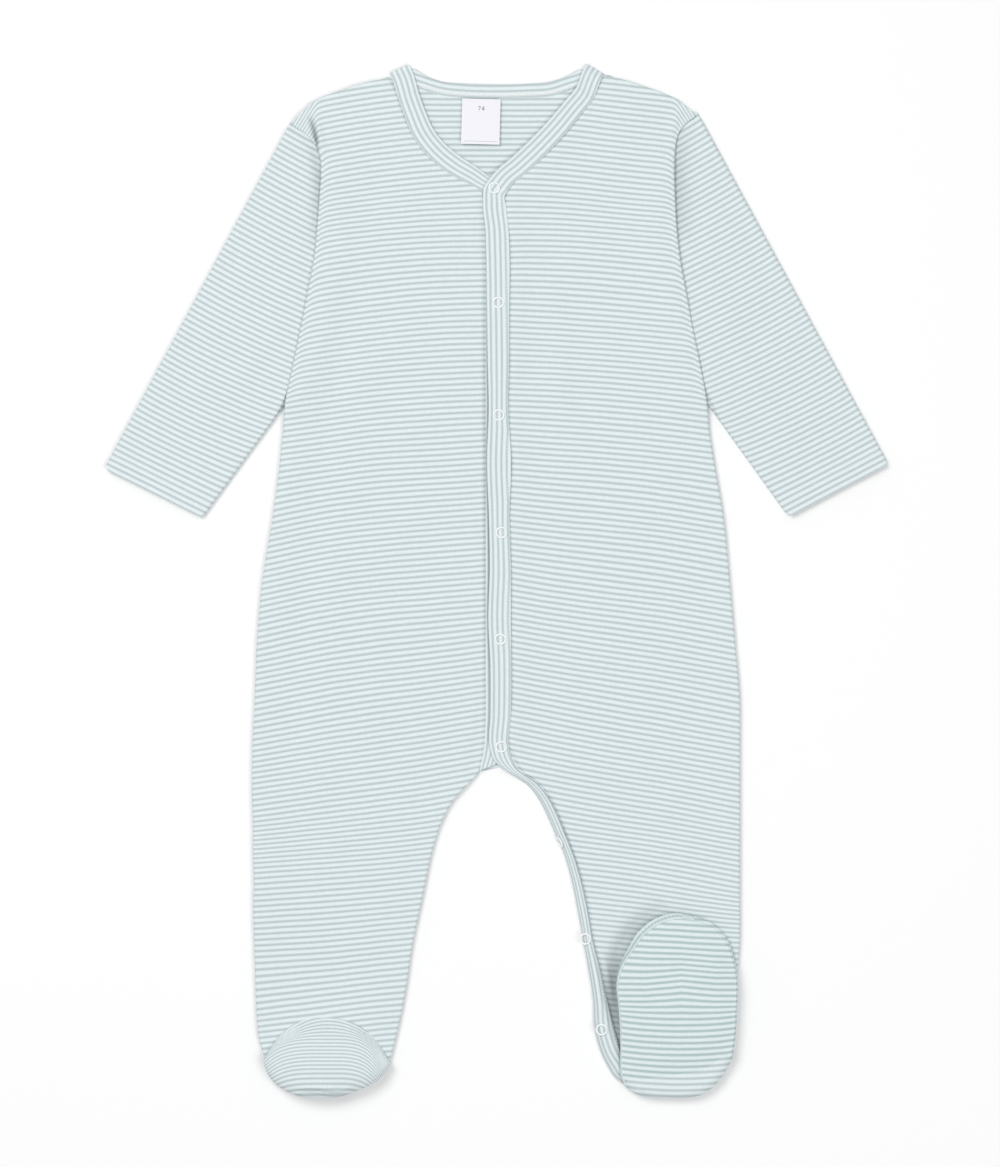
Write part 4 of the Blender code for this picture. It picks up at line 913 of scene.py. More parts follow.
sleeve_right, hems_right = sleeve(
    "right_sleeve", SLEEVE_RIGHT, CUFF_RIGHT, 11.0, CREASES_SLEEVE_RIGHT, PAINTED_SHADE_SLEEVE_RIGHT, 31, 1
)
sleeve_left, hems_left = sleeve(
    "left_sleeve", SLEEVE_LEFT, CUFF_LEFT, 19.0, CREASES_SLEEVE_LEFT, PAINTED_SHADE_SLEEVE_LEFT, 43, -1
)


# %% [markdown]
# ## The binding
# One strip of folded jersey binds the whole neck and then becomes the buttoned placket: from the crossing
# up the right side of the V, over the shoulder, along the back of the neck, over the other shoulder, down
# the left side and on down the front and the inner leg. It is cut along the stripes, so they run
# lengthwise, and it is one object here too, so no joint shows where the V meets the placket.

# %% The binding's tables
# The three stretches of the neck band: up the left side of the V, along the back of the neck from left to
# right, and down the right side. n is the edge at the neck, s the edge at the seam.
BAND_COLUMNS = "nx ny sx sy under"
BAND_V_LEFT = table(BAND_COLUMNS, [
    (-0.3, 258.8, 9.1, 249.3, 3.2), (9.1, 266.9, 18.5, 257.2, 2.9), (21.7, 278.9, 31.2, 269.2, 2.6),
    (33.1, 290.9, 43.0, 281.7, 2.4), (43.2, 302.9, 53.9, 295.0), (49.5, 310.4, 60.2, 302.8),
])
BAND_BACK = table(BAND_COLUMNS, [
    (50.4, 322.2, 55.4, 312.6, 0.0), (43.2, 318.4, 47.2, 310.0), (34.0, 315.5, 36.0, 306.4),
    (19.0, 314.0, 19.8, 305.0), (-2.2, 313.7, -2.2, 304.5), (-21.0, 314.3, -21.8, 305.1),
    (-34.5, 315.6, -36.6, 306.9), (-43.6, 318.9, -47.8, 310.4), (-50.4, 323.0, -55.6, 313.2),
])
BAND_V_RIGHT = table(BAND_COLUMNS, [
    (-49.1, 308.5, -61.7, 303.7, 2.4), (-45.0, 297.2, -57.5, 292.0), (-40.0, 285.9, -51.8, 279.1),
    (-32.4, 276.1, -41.3, 266.2), (-22.4, 267.9, -30.2, 257.3, 2.3), (-12.3, 261.3, -19.2, 251.5, 2.0),
    (-4.7, 255.6, -10.4, 246.8, SECOND), (-0.3, 252.5, -5.4, 244.3),
])
SHOULDER_FOLD_LEFT = ((57.0, 326.9), (68.2, 320.2))
SHOULDER_FOLD_RIGHT = ((-55.0, 326.2), (-67.4, 320.4))
SHOULDER_ROLL = 2.0
# The buttoned band that lies on top, down the front and on along the inner edge of the left leg: its two
# edges, and the height of its underside at each.
PLACKET_COLUMNS = "lx ly rx ry left_under right_under"
PLACKET_TOP = table(PLACKET_COLUMNS, [
    (-3.9, 254.6, 7.0, 246.0, 3.4, 3.4), (-7.9, 248.7, 5.2, 242.6), (-8.6, 240.0, 6.0, 237.6),
    (-7.0, 222.0, 7.8, 221.0), (-6.5, 205.0, 8.4, 205.0), (-6.0, 172.0, 8.2, 172.0),
    (-5.6, 140.0, 8.1, 140.0), (-5.0, 109.0, 7.6, 109.0), (-6.0, 76.0, 9.4, 76.0), (-4.8, 40.0, 8.3, 40.0),
    (-4.3, 8.0, 9.3, 8.0), (-5.2, -24.0, 9.2, -24.0), (-3.9, -53.0, 9.5, -53.0), (-3.9, -85.0, 9.1, -85.0),
    (-4.4, -103.0, 7.8, -103.0), (-1.4, -112.6, 9.8, -111.8), (4.2, -118.0, 12.4, -117.2, 3.2),
    (12.0, -123.0, 17.2, -121.4, 2.9, 3.2), (19.2, -128.0, 24.2, -125.8, 2.6, 3.0),
    (25.6, -135.6, 31.4, -133.9, 2.3, 2.8), (31.6, -146.8, 37.7, -145.2, 2.0, 2.7),
    (36.4, -157.7, 42.9, -157.7, 1.8, 2.9), (41.2, -168.0, 49.0, -173.2, 1.7, 2.6),
    (47.2, -188.0, 54.0, -190.2, 1.7, 2.2), (51.4, -209.0, 58.2, -209.6, 1.7, 1.9),
    (54.6, -226.0, 61.0, -226.0), (57.6, -243.3, 65.3, -243.3), (60.6, -263.0, 69.6, -263.4),
    (62.0, -284.3, 74.8, -283.6), (65.6, -296.6, 77.4, -292.0), (70.0, -305.8, 79.4, -300.5, 1.6, 1.7),
    (75.0, -313.2, 81.5, -306.0, 1.5, 1.6), (78.6, -315.6, 83.0, -309.0, 1.4, 1.5),
])
# The edges of the band under it.
PLACKET_UNDER = table("lx ly rx ry", [
    (-8.0, 241.6, 5.4, 240.6), (-7.0, 205.0, 6.6, 205.0), (-7.2, 140.0, 6.4, 140.0),
    (-7.2, 76.0, 6.6, 76.0), (-7.2, 8.0, 6.8, 8.0), (-7.2, -53.0, 6.8, -53.0), (-7.3, -90.0, 6.4, -90.0),
    (-8.4, -107.0, 4.6, -104.0), (-10.8, -119.2, 0.4, -114.6),
])
print("key rows of the bands:", len(BAND_V_RIGHT + BAND_BACK + BAND_V_LEFT + PLACKET_TOP), len(PLACKET_UNDER))

# %% [markdown]
# Most of the strip lies flat. On the leg it rolls over, so that its free edge turns under, and beside the
# folded foot it stands up as a thick round roll. So a key row of the binding holds its two edges, the way
# its face looks and how far the middle stands up between them.

# %% Build the binding and the placket under it
BAND = 1.6          # thickness of the folded strip
BAND_REPEAT = 3.37  # from one dark stripe to the next
FIRST_DARK = 2.3    # from the free edge to the first one
BAND_WIDE = 13.7
BAND_ROUND = 0.9    # how far in the edges are rounded
# The points of a ring, as shares of the width: over the face, closest at its edges, and back underneath.
BAND_EDGE = [0.0, 0.012, 0.04, 0.08]
BAND_ACROSS = np.concatenate([BAND_EDGE, np.linspace(0.12, 0.88, 19), [0.92, 0.96, 0.988, 1.0]])
BAND_UNDER = np.array([0.97, 0.8, 0.5, 0.2, 0.03])
BAND_STEPS = 760
LEG_CROWN = 3.0     # how far the rolled band stands up on the leg
LEG_ROLLED = (-114.0, -16.0)
CROWN_MORE = 2.2    # and how much further beside the foot
MORE_FROM = (-226.0, -24.0)
MORE_TO = (-313.0, 16.0)
CROWN_END = (-319.0, 8.0)
CROWN_SHAPE = 2.4   # how full its arch is
ROLLED_LOW = 0.3    # height of its free edge, turned under
# The groove that the topstitch pulls in: how far from the edge, half its width and its depth.
SEW_GROOVE = (2.1, 0.45, 0.16)


def flat_row(nx, ny, sx, sy, neck_under, seam_under, facing=1.0, crown=0.0):
    """A stretch of band: the underside's two edges, the way its face looks and its crown."""
    return np.array([nx, ny, neck_under, sx, sy, seam_under, 0.0, 0.0, facing, crown])


def shoulder_rows(fold):
    """The band where it turns over the shoulder, from its face up to its face down."""
    first, last = np.array([*fold[0], 0.0]), np.array([*fold[1], 0.0])
    line = (last - first) / np.linalg.norm(last - first)
    way = np.array([line[1], -line[0], 0.0])
    way *= math.copysign(1.0, way[1])
    rows = []
    for a in np.radians(np.arange(0, 181, 20)):
        normal = way * math.sin(a) + UP * math.cos(a)
        middle = (UP - way) * SHOULDER_ROLL + normal * (SHOULDER_ROLL - BAND)
        rows.append(np.concatenate([first + middle, last + middle, normal, [0.0]]))
    return rows


def placket_row(row):
    """A row of the placket, rolled where it runs down the leg."""
    leg = rising(row.ly, *LEG_ROLLED)
    beside_foot = rising(row.ly, *MORE_FROM) * rising(row.ly, *MORE_TO)
    left_under = mix(row.left_under, ROLLED_LOW, leg)
    crown = (LEG_CROWN * leg + CROWN_MORE * beside_foot) * rising(row.ly, *CROWN_END)
    return flat_row(row.lx, row.ly, row.rx, row.ry, left_under, row.right_under, 1.0, crown)


def band_rings(keys, steps):
    """Rings round the band's section, evenly along a smooth run through its key rows."""
    keys = np.array(keys)
    knots = lengths_along((keys[:, :3] + keys[:, 3:6]) / 2)
    rows = cubic(knots, keys, np.linspace(0.0, knots[-1], steps))
    neck, seam = rows[:, None, :3], rows[:, None, 3:6]
    up = rows[:, None, 6:9] / np.linalg.norm(rows[:, None, 6:9], axis=2, keepdims=True)
    wide = np.linalg.norm(seam - neck, axis=2)
    near = np.minimum(BAND_ACROSS, 1 - BAND_ACROSS)[None] * wide
    round_edge = np.sqrt(1 - (1 - np.minimum(near / BAND_ROUND, 1.0)) ** 2)
    inset, half, deep = SEW_GROOVE
    stitched = np.exp(-(((near - inset) / half) ** 2)) * deep
    face = 0.45 * BAND + round_edge * 0.6 * BAND - stitched
    rolled = rows[:, 9:10] * (1 - np.abs(2 * BAND_ACROSS - 1) ** CROWN_SHAPE)
    chord = mix(neck, seam, BAND_ACROSS[None, :, None])
    top = chord + up * (face + rolled)[..., None]
    under = mix(neck, seam, BAND_UNDER[None, :, None])
    bare = chord + up * rolled[..., None]
    over = np.array([lengths_along(line) for line in bare])
    return np.concatenate([top, under], axis=1), over, knots[-1] * np.linspace(0, 1, steps), wide


def binding_keys():
    """All the key rows of the strip, from the crossing round the neck and down to the ankle."""
    right, left = (
        [flat_row(r.nx, r.ny, r.sx, r.sy, r.under, r.under) for r in reversed(side)]
        for side in (BAND_V_RIGHT, BAND_V_LEFT)
    )
    neck = [flat_row(r.nx, r.ny, r.sx, r.sy, BAND, BAND, -1.0) for r in reversed(BAND_BACK)]
    over_right, over_left = shoulder_rows(SHOULDER_FOLD_RIGHT), shoulder_rows(SHOULDER_FOLD_LEFT)
    return right + over_right + neck + over_left[::-1] + left + [placket_row(row) for row in PLACKET_TOP]


def band_places(over, along):
    """Stripes run lengthwise, and the whole band shows even where it is rolled narrower."""
    total = over[:, -1:]
    face = over * np.maximum(BAND_WIDE / total, 1.0) - FIRST_DARK
    hidden = face[:, -1:] - total * (1 - BAND_UNDER[None])
    v = np.concatenate([face, hidden], axis=1) * REPEAT / BAND_REPEAT
    return np.stack([np.broadcast_to(along[:, None], v.shape), v], axis=-1)


binding_grid, binding_over, binding_along, binding_wide = band_rings(binding_keys(), BAND_STEPS)
binding_places = band_places(binding_over, binding_along)
binding = strip("neck_and_placket_binding", binding_grid, binding_places, binding_cloth)
print(f"binding {binding_along[-1]:.0f} mm long, {binding_wide.min():.1f} to {binding_wide.max():.1f} wide")

# The band under it, on the right front, ends at the crotch. Painted shade darkens it beside the upper band's
# edge, where that band stands above it.
UNDER_STEPS = 180
UNDER_LOW = SECOND - 0.3
UNDER_PAINTED_SHADE = (0.8, 0.42)
under_keys = [flat_row(r.lx, r.ly, r.rx, r.ry, UNDER_LOW, UNDER_LOW) for r in PLACKET_UNDER]
under_grid, under_over, under_along, _ = band_rings(under_keys, UNDER_STEPS)
placket_under = strip("right_placket", under_grid, band_places(under_over, under_along), binding_with_painted_shade)
mark(placket_under, [(*UNDER_PAINTED_SHADE, *[(row.lx - 0.5, row.ly) for row in PLACKET_TOP[2:16]])])


# %% [markdown]
# ## The back
# The back is one flat sheet with both legs, and at the folded foot its cloth turns up round the heel and runs
# on to the heel seam on top. Of the flat part only what lies inside the neck can be seen, so it is one face.

# %% The back's outline and heel
# The back panel's outline where it follows nothing else: neck, shoulders and armholes.
BACK_NECK = [
    (70.2, 318.0), (58.0, 314.6), (47.2, 310.4), (36.0, 306.8), (19.8, 305.4), (-2.2, 304.9),
    (-21.8, 305.5), (-36.6, 307.3), (-47.8, 310.8), (-58.0, 314.2), (-69.4, 316.6),
]
BACK_SHOULDER_LEFT = [(120.8, 298.2), (115.6, 302.0), (102.5, 307.4), (86.5, 312.6)]
BACK_SHOULDER_RIGHT = [(-88.0, 311.6), (-105.0, 305.6), (-117.6, 300.2), (-123.4, 294.2)]
BACK_TIP_LEFT = (125.0, 293.9)
BACK_TIP_RIGHT = (-127.6, 288.9)
BACK_ARMPIT_LEFT = (132.8, 109.0)
BACK_ARMPIT_RIGHT = (-133.4, 109.0)
ARMPIT = 105.0      # below this a front's outer edge is the side seam
CROTCH = (1.6, -116.6)
BACK_INSET = 0.6    # the back stops this far inside the pieces rolled or sewn along its edge
SEAM_GAP = 0.5      # and this far outside the flat foot's sole
BACK_INNER_LEG_LEFT = [
    (4.6, -118.4), (12.4, -123.0), (19.8, -128.4), (26.2, -136.0), (32.2, -147.0), (37.0, -158.0),
    (41.8, -168.4), (47.8, -188.4), (52.0, -209.4), (55.2, -226.4), (58.2, -243.5), (61.2, -263.0),
    (62.6, -284.3), (67.2, -300.0), (73.6, -311.4),
]
# The cloth of the left leg's back turns up round the heel of the folded foot: a point on the fold line,
# the way that the fold faces, and how far the cloth runs on over the top to the heel seam.
HEEL_WRAP = table("x y facing run", [
    (79.6, -316.4, 231, 0.6), (87.0, -322.2, 248, 3.4), (97.0, -324.6, 262, 6.6),
    (108.0, -325.2, 268, 8.8), (118.0, -325.2, 272, 10.0), (128.0, -323.4, 286, 9.4),
    (136.4, -318.2, 306, 7.4), (143.6, -309.4, 324, 4.0), (148.4, -300.8, 338, 0.8),
])
HEEL_ROLL = 5.5     # radius of the cloth's turn round the heel
SOLE_TOP = 2 * HEEL_ROLL
# The flat foot's sole: an oval whose sides are straighter than an ellipse's, for which the power is 2.
SOLE_MIDDLE = (-106.8, -271.8)
SOLE_HALF = (36.4, 48.8)
SOLE_POWER = 2.5


def oval(angle, grow=0.0):
    """A point on the flat foot's sole, or that far outside it, at an angle in degrees."""
    a = math.radians(angle)
    c, s = math.cos(a), math.sin(a)
    x = math.copysign(abs(c) ** (2 / SOLE_POWER), c) * (SOLE_HALF[0] + grow)
    y = math.copysign(abs(s) ** (2 / SOLE_POWER), s) * (SOLE_HALF[1] + grow)
    return SOLE_MIDDLE[0] + x, SOLE_MIDDLE[1] + y


print("sole: from", np.round(oval(180), 1), "to", np.round(oval(0), 1))

# %% [markdown]
# The folded foot's stripes run level across it. They smile a little towards the heel, tilt at the toes, and
# are pulled up in a flat peak at the middle of the sole, where the cloth was stretched. The heel and the
# sole share these places, so the stripes meet at the heel seam.

# %% Stripes on the folded foot
FOOT_MIDDLE = 116.2
FOOT_REPEAT = 3.72
# How high the stripes' ends rise towards the heel, at what distance from the middle, and where that starts.
# Then how steeply they tilt at the toes, and where that starts.
HEEL_SMILE = (1.9, 33.0, -262.0, -13.0)
TOE_TILT = (0.052, -250.0, 14.0)
# The peak: its height, half its width, its middle and half its length.
SOLE_PEAK = (2.1, 22.0, -252.8, 16.0)


def level_places(points):
    """The places of the cloth on the folded foot."""
    x, y = points[..., 0], points[..., 1]
    out = x - FOOT_MIDDLE
    rise, at, start, over = HEEL_SMILE
    smile = rise * (out / at) ** 2 * rising(y, start, over)
    slope, start, over = TOE_TILT
    tilt = slope * out * rising(y, start, over)
    high, wide, middle, long = SOLE_PEAK
    bent = np.maximum(1 - np.abs(out) / wide, 0.0) * np.exp(-(((y - middle) / long) ** 2))
    return np.stack([x, (y - smile + tilt - high * bent) * REPEAT / FOOT_REPEAT], axis=-1)


print(f"stripes on the folded foot: {FOOT_REPEAT} mm apart")

# %% Build the back
HEEL_ANGLES = np.radians(np.arange(0, 181, 10))
# Where on the roll, in radians, the stripes become those of the sole.
HEEL_SIDE = (0.8, 0.7)
# From the heel's roll to its seam: the share of the run, and then how far in and down under the sole.
HEEL_RUN = (
    (0.25, 0.0, 0.0), (0.5, 0.0, 0.0), (0.75, 0.0, 0.0), (1.0, 0.0, 0.08), (1.0, 0.5, 0.45), (1.0, 1.4, 1.1),
)


def heel_grid():
    """The outer points round the heel, the inner ones and the cloth's flat places."""
    rows = refine(HEEL_WRAP, 6, "x y")
    start = np.array([(row.x, row.y, HEEL_ROLL) for row in rows])
    facing = np.radians([row.facing for row in rows])
    way = np.column_stack([np.cos(facing), np.sin(facing), np.zeros(len(rows))])
    reach = np.array([[row.run] for row in rows])
    centre = start - way * HEEL_ROLL
    outer, inner, places = [], [], []
    for a in HEEL_ANGLES:
        normal = way * math.sin(a) - UP * math.cos(a)
        outer.append(centre + normal * HEEL_ROLL)
        inner.append(centre + normal * (HEEL_ROLL - JERSEY))
        round_it = centre[:, :2] + way[:, :2] * HEEL_ROLL * a
        places.append(mix(round_it, level_places(outer[-1]), rising(a, *HEEL_SIDE)))
    for share, more, drop in HEEL_RUN:
        top = centre + UP * (HEEL_ROLL - drop) - way * (reach * share + more)
        outer.append(top)
        inner.append(top - UP * JERSEY)
        places.append(level_places(top))
    return np.array(outer), np.array(inner), np.array(places)


heel_outer, heel_inner, heel_places = heel_grid()
heel_seam = heel_outer[-3]
print("heel seam:", heel_seam[0].round(1), "to", heel_seam[-1].round(1))


def side_of(rows):
    fine = refine([row for row in rows if row.oy < ARMPIT], 4, "ox oy")
    return [(row.ox - math.copysign(BACK_INSET, row.ox), row.oy) for row in fine]


def back_panel():
    left_armhole = [(row.x - BACK_INSET, row.y) for row in SLEEVE_LEFT]
    right_armhole = [(row.x + BACK_INSET, row.y) for row in SLEEVE_RIGHT]
    right_inner = [(row.ix - BACK_INSET, row.iy) for row in FRONT_RIGHT if row.iy < CROTCH[1]]
    neck = smooth_line(BACK_NECK, 60) + np.array([0.0, 1.6])
    outline = BACK_SHOULDER_LEFT + [tuple(point) for point in neck]
    outline += BACK_SHOULDER_RIGHT + [BACK_TIP_RIGHT] + right_armhole[1:] + [BACK_ARMPIT_RIGHT]
    outline += side_of(FRONT_RIGHT) + [oval(angle, SEAM_GAP) for angle in range(200, -21, -10)]
    outline += right_inner[::-1] + [CROTCH] + BACK_INNER_LEG_LEFT
    start = len(outline)
    outline += [tuple(point) for point in heel_outer[0, :, :2]]
    outline += side_of(FRONT_LEFT)[::-1] + [BACK_ARMPIT_LEFT]
    outline += left_armhole[:0:-1] + [BACK_TIP_LEFT]
    low = np.array([(x, y, 0.0) for x, y in outline])
    rows, columns = heel_outer.shape[:2]
    outer = np.vstack([low, heel_outer[1:].reshape(-1, 3)])
    inner = np.vstack([low + UP * JERSEY, heel_inner[1:].reshape(-1, 3)])
    places = np.vstack([low[:, :2], heel_places[1:].reshape(-1, 2)])
    first = len(low)
    faces = [list(range(first))]
    for j in range(columns - 1):
        faces.append([start + j + 1, start + j, first + j, first + j + 1])
    faces += (grid_faces(rows - 1, columns)[:, ::-1] + first).tolist()
    count = len(outer)
    faces += [[count + k for k in face[::-1]] for face in faces] + rim_faces(faces, count)
    return make_piece("back_panel", np.vstack([outer, inner]), faces, np.vstack([places, places]), jersey)


back = back_panel()
print("back panel:", len(back.data.polygons), "faces")


# %% [markdown]
# ## The feet
# The flat foot is a puffed toe cap, sewn to the leg along an arched seam and to the sole underneath. Its
# stripes follow the arch, and the seam's gathering crowds them together at the top and at the inner side.

# %% The flat foot's tables
# The flat foot's toe piece, from its outer to its inner end: the furthest it reaches, and the angle on
# the oval sole where it is sewn down.
TOE = table("x y angle", [
    (-146.4, -303.0, 207), (-144.6, -308.4, 217), (-141.2, -313.6, 228), (-135.6, -318.6, 239),
    (-128.2, -322.4, 248), (-119.0, -324.6, 258), (-109.0, -325.2, 267), (-99.0, -324.2, 276),
    (-89.6, -321.2, 286), (-80.6, -317.4, 297), (-73.6, -312.8, 310), (-69.0, -307.2, 322),
    (-66.6, -303.0, 333),
])
TOE_ARC = ((-146.2, -300.0), (-67.2, -302.0), 25.8)
TOE_HEIGHT = 18.5
TOE_SIDE = 6.0      # its height at the sides
TOE_SEAM_TOP = 7.2  # and at the top of its seam
# From the seam to the tip: the share of the way, and the share of the rise to the crown.
TOE_LINE = (
    (-0.03, -0.10), (0.0, -0.01), (0.06, 0.12), (0.14, 0.34), (0.3, 0.68), (0.5, 0.92), (0.7, 1.0),
    (0.86, 0.9), (0.96, 0.66),
)
# From the tip down and in to the sole: the share of the way, and the height as a share of the crown.
TOE_UNDER = ((0.0, 0.36), (0.12, 0.16), (0.45, 0.0), (1.0, 0.0))
print("toe cap:", len(TOE), "lines from the seam over the toe,", TOE_HEIGHT, "mm high")

# %% Build the flat foot
TOE_POINTS = 84
TOE_MIDDLE = -106.3
TOE_SEAM_Y = -274.5
TOE_LOWEST = 0.1
TOE_FREE = (2.0, 4.0)   # from this height up, the cloth is free to crease
TOE_WAVES = (0.25, 16.0, 40.0)
# The stripes arch by the square of the way out at the seam, and by its fourth power from there towards the
# tip, with one factor on the outer side and one on the inner. They change over within this length.
TOE_ARCH = 0.0145
TOE_ARCH_OUT = 4.3e-6
TOE_ARCH_IN = 1.15e-5
TOE_CHANGE = -15.0
TOE_ROUNDS = 12
# How far up the middle line, and how far apart the stripes are there.
TOE_PITCH = ((-340.0, 3.6), (-320.0, 3.6), (-313.0, 3.4), (-304.5, 2.5), (-296.0, 2.2), (-250.0, 2.2))
# Where gathers bunch the stripes so closely that they can't be told apart: width, strength and line.
CROWDED = [
    (3.2, 0.85, (-149, -302), (-143.5, -294.5), (-137, -288), (-131, -283.5), (-124, -279.5)),
    (2.6, 0.85, (-82, -282), (-75.5, -290), (-72, -297), (-68.5, -308)),
]
# The fold at the tip, as painted shade and as a crease, and a soft ridge on the toe.
PAINTED_SHADE_TOE = [
    (0.9, 0.28, (-129, -323.2), (-121, -321.2), (-112, -321.6), (-104, -323), (-97, -323.4), (-88, -320)),
]
CREASES_TOE = [
    (1.2, -2.2, (-129, -320.2), (-121, -320), (-112, -320.2), (-104, -321.2), (-97, -321.4), (-89, -318.6)),
    (4.0, 0.5, (-132, -300), (-112, -304), (-92, -301)),
]
# The seam's gathers: their height and spacing, where they are highest, and how soon they fade from there.
GATHERS = (0.2, 4.6, 4.0, 5.0)


def toe_line(row, share):
    """From the seam over the toe and in under it to the sole."""
    start, stop, bow = TOE_ARC
    seam = np.array([*mix(np.array(start), np.array(stop), share), 0.0])
    seam[1] += bow * (1 - abs(2 * share - 1) ** DOME) - 0.6
    arch = math.sin(math.pi * (0.04 + 0.92 * share)) ** 0.6
    seam_top = mix(SEAM_TOP - 0.3, TOE_SEAM_TOP, arch)
    crown = mix(TOE_SIDE, TOE_HEIGHT, arch)
    reach = np.array([row.x, row.y, 0.0])
    sole = np.array([*oval(row.angle, 1.0), 0.0])
    line = [mix(seam, reach, along) + UP * mix(seam_top, crown, rise) for along, rise in TOE_LINE]
    return np.array(line + [mix(reach, sole, along) + UP * crown * rise for along, rise in TOE_UNDER])


def toe_stripes(grid):
    """Arched stripes: seen on the middle line they are crowded at the seam and widen towards the toes."""
    x, y = grid[..., 0], grid[..., 1]
    out = x - TOE_MIDDLE
    side = np.where(out < 0, TOE_ARCH_OUT, TOE_ARCH_IN)
    level = y.copy()
    # How far a stripe bends depends on its own level, so the level is found in rounds.
    for _ in range(TOE_ROUNDS):
        deep = rising(level, TOE_SEAM_Y, TOE_CHANGE)
        level = mix(level, y + mix(TOE_ARCH * out**2, side * out**4, deep), 0.6)
    heights, pitches = zip(*TOE_PITCH)
    steps = np.linspace(heights[0], heights[-1], 400)
    count = np.cumsum(REPEAT / np.interp(steps, heights, pitches)) * (steps[1] - steps[0])
    v = np.interp(level, steps, count)
    first = np.argmin(y, axis=1)
    down = np.array([lengths_along(line) for line in grid])
    for i, start in enumerate(first):
        v[i, start:] = v[i, start] - (down[i, start:] - down[i, start])
    return v


def toe_cap():
    rows = refine(TOE, 12, "x y", ("angle",))
    shares = np.linspace(0.0, 1.0, len(rows))
    keys = np.array([toe_line(row, share) for row, share in zip(rows, shares)])
    count = keys.shape[1]
    flat_keys = np.swapaxes(keys, 0, 1).reshape(count, -1)
    middle = keys[len(keys) // 2]
    knots = lengths_along(middle)
    at = np.linspace(0.0, knots[-1], TOE_POINTS)
    lines = cubic(knots, flat_keys, at).reshape(TOE_POINTS, len(rows), 3)
    grid = np.swapaxes(lines, 0, 1).copy()
    grid[..., 2] = np.maximum(grid[..., 2], 0.0)
    down = np.array([lengths_along(line) for line in grid])
    around = lengths_along(grid[:, 0])[:, None]
    high, apart, first, over = GATHERS
    gathers = np.cos(around * 2 * math.pi / apart + 1.2 * np.sin(around / 7.0))
    gathers = gathers * np.exp(-(((down - first) / over) ** 2))
    soft = waves(grid[..., 0], grid[..., 1], 61, *TOE_WAVES) * ease(down / 12)
    folds = creased(CREASES_TOE, grid[..., 0], grid[..., 1])
    free = ease(down / 2) * rising(grid[..., 2], *TOE_FREE)
    cloth = np.stack([np.broadcast_to(around, down.shape), toe_stripes(grid)], axis=-1)
    grid[..., 2] = np.maximum(grid[..., 2] + (gathers * high + soft + folds) * free, TOE_LOWEST)
    return shell("right_toe_cap", grid, cloth, jersey_with_painted_shade, -1)


toe_right = toe_cap()
mark(toe_right, PAINTED_SHADE_TOE, CROWDED)
print("toe cap:", len(toe_right.data.polygons), "faces")


def flat_plate(name, outline, low, high, finish):
    """A flat piece cut to an outline."""
    points = np.array([(x, y, height) for height in (high, low) for x, y in outline])
    count = len(outline)
    top = list(range(count))
    faces = [top, [count + k for k in top[::-1]]] + rim_faces([top], count)
    return make_piece(name, points, faces, points[:, :2], finish)


sole_right = flat_plate("right_sole", [oval(angle) for angle in range(0, 360, 4)], 0.0, JERSEY, jersey)
print("flat foot's sole:", 2 * SOLE_HALF[0], "by", 2 * SOLE_HALF[1], "mm")

# %% [markdown]
# The other foot was folded up against the leg, so its sole faces up. The upper lies under it, a shallow
# pocket whose rim shows all round as a rolled edge, with the sole let in a little lower and softly crowned.

# %% The folded foot's outline
FOLDED_FOOT = table("x y rim", [
    (80.0, -315.8, 1.2), (78.4, -311.8), (77.8, -306.0), (77.8, -294.0), (77.4, -280.0), (76.4, -266.0),
    (75.3, -253.0, 1.4), (77.2, -242.6, 2.4), (82.6, -231.4, 3.6), (89.7, -220.0, 4.2), (100.2, -212.0),
    (112.0, -208.7, 3.8), (124.4, -210.6, 3.2), (137.0, -215.6, 2.4), (145.0, -224.4, 1.8),
    (149.8, -238.0, 1.4), (152.0, -252.0, 1.2), (151.6, -268.0), (150.8, -282.0), (149.8, -292.0),
    (148.7, -298.8), (146.0, -304.4),
])
SPINE_X = 114.0     # the foot's middle line
SPINE_ENDS = (-286.0, -236.0)
FOOT_FLOOR = SEAM_TOP + 0.3
FOOT_RIM = SOLE_TOP - 1.5
FOOT_CROWN = 2.2    # how far the sole is crowned
SOLE_SINK = 0.35    # and how far it is let in at its seam
SOLE_CORNER = (145.9, -301.0)
SOLE_CENTRE = np.array([SPINE_X, -262.0])
SOLE_CROWN_HALF = np.array([44.0, 62.0])
SOLE_RINGS = 30
SOLE_WAVES = (0.25, 22.0, 50.0)
SOLE_RIPPLES = (0.05, 8.0, 14.0)
# A dent in the sole: its depth, its middle and half its width and length.
SOLE_DENT = (-0.9, 118.0, -241.0, 9.0, 7.0)
print("folded foot: rim", FOOT_RIM, "mm and sole", SOLE_TOP, "mm above the surface")

# %% Build the folded foot
# Over the rim from the sole's seam: the share of the way across it, and the height.
RIM_LINE = ((-0.9, FOOT_RIM), (0.0, FOOT_RIM - 0.1), (0.75, FOOT_RIM - 0.9), (1.0, 7.4), (0.85, 6.0))
# And where it meets the pocket's floor: how far in, and how far above it.
RIM_FOOT = ((0.9, 0.5), (2.4, 0.0))
RIM_POINTS = 26
# The stripes run along the rim on its inner side, and level across it on its outer side.
RIM_LEVEL = (117.0, 7.0)


def foot_frame(row):
    """From the foot's spine out to its edge: the spine's point, the way and the distance."""
    spine = np.array([SPINE_X, min(max(row.y, SPINE_ENDS[0]), SPINE_ENDS[1])])
    run = np.array([row.x, row.y]) - spine
    reach = np.linalg.norm(run)
    return spine, run / reach, reach


def foot_edge(row, inset):
    """A point this far inside the foot's edge."""
    spine, way, reach = foot_frame(row)
    return spine + way * (reach - inset)


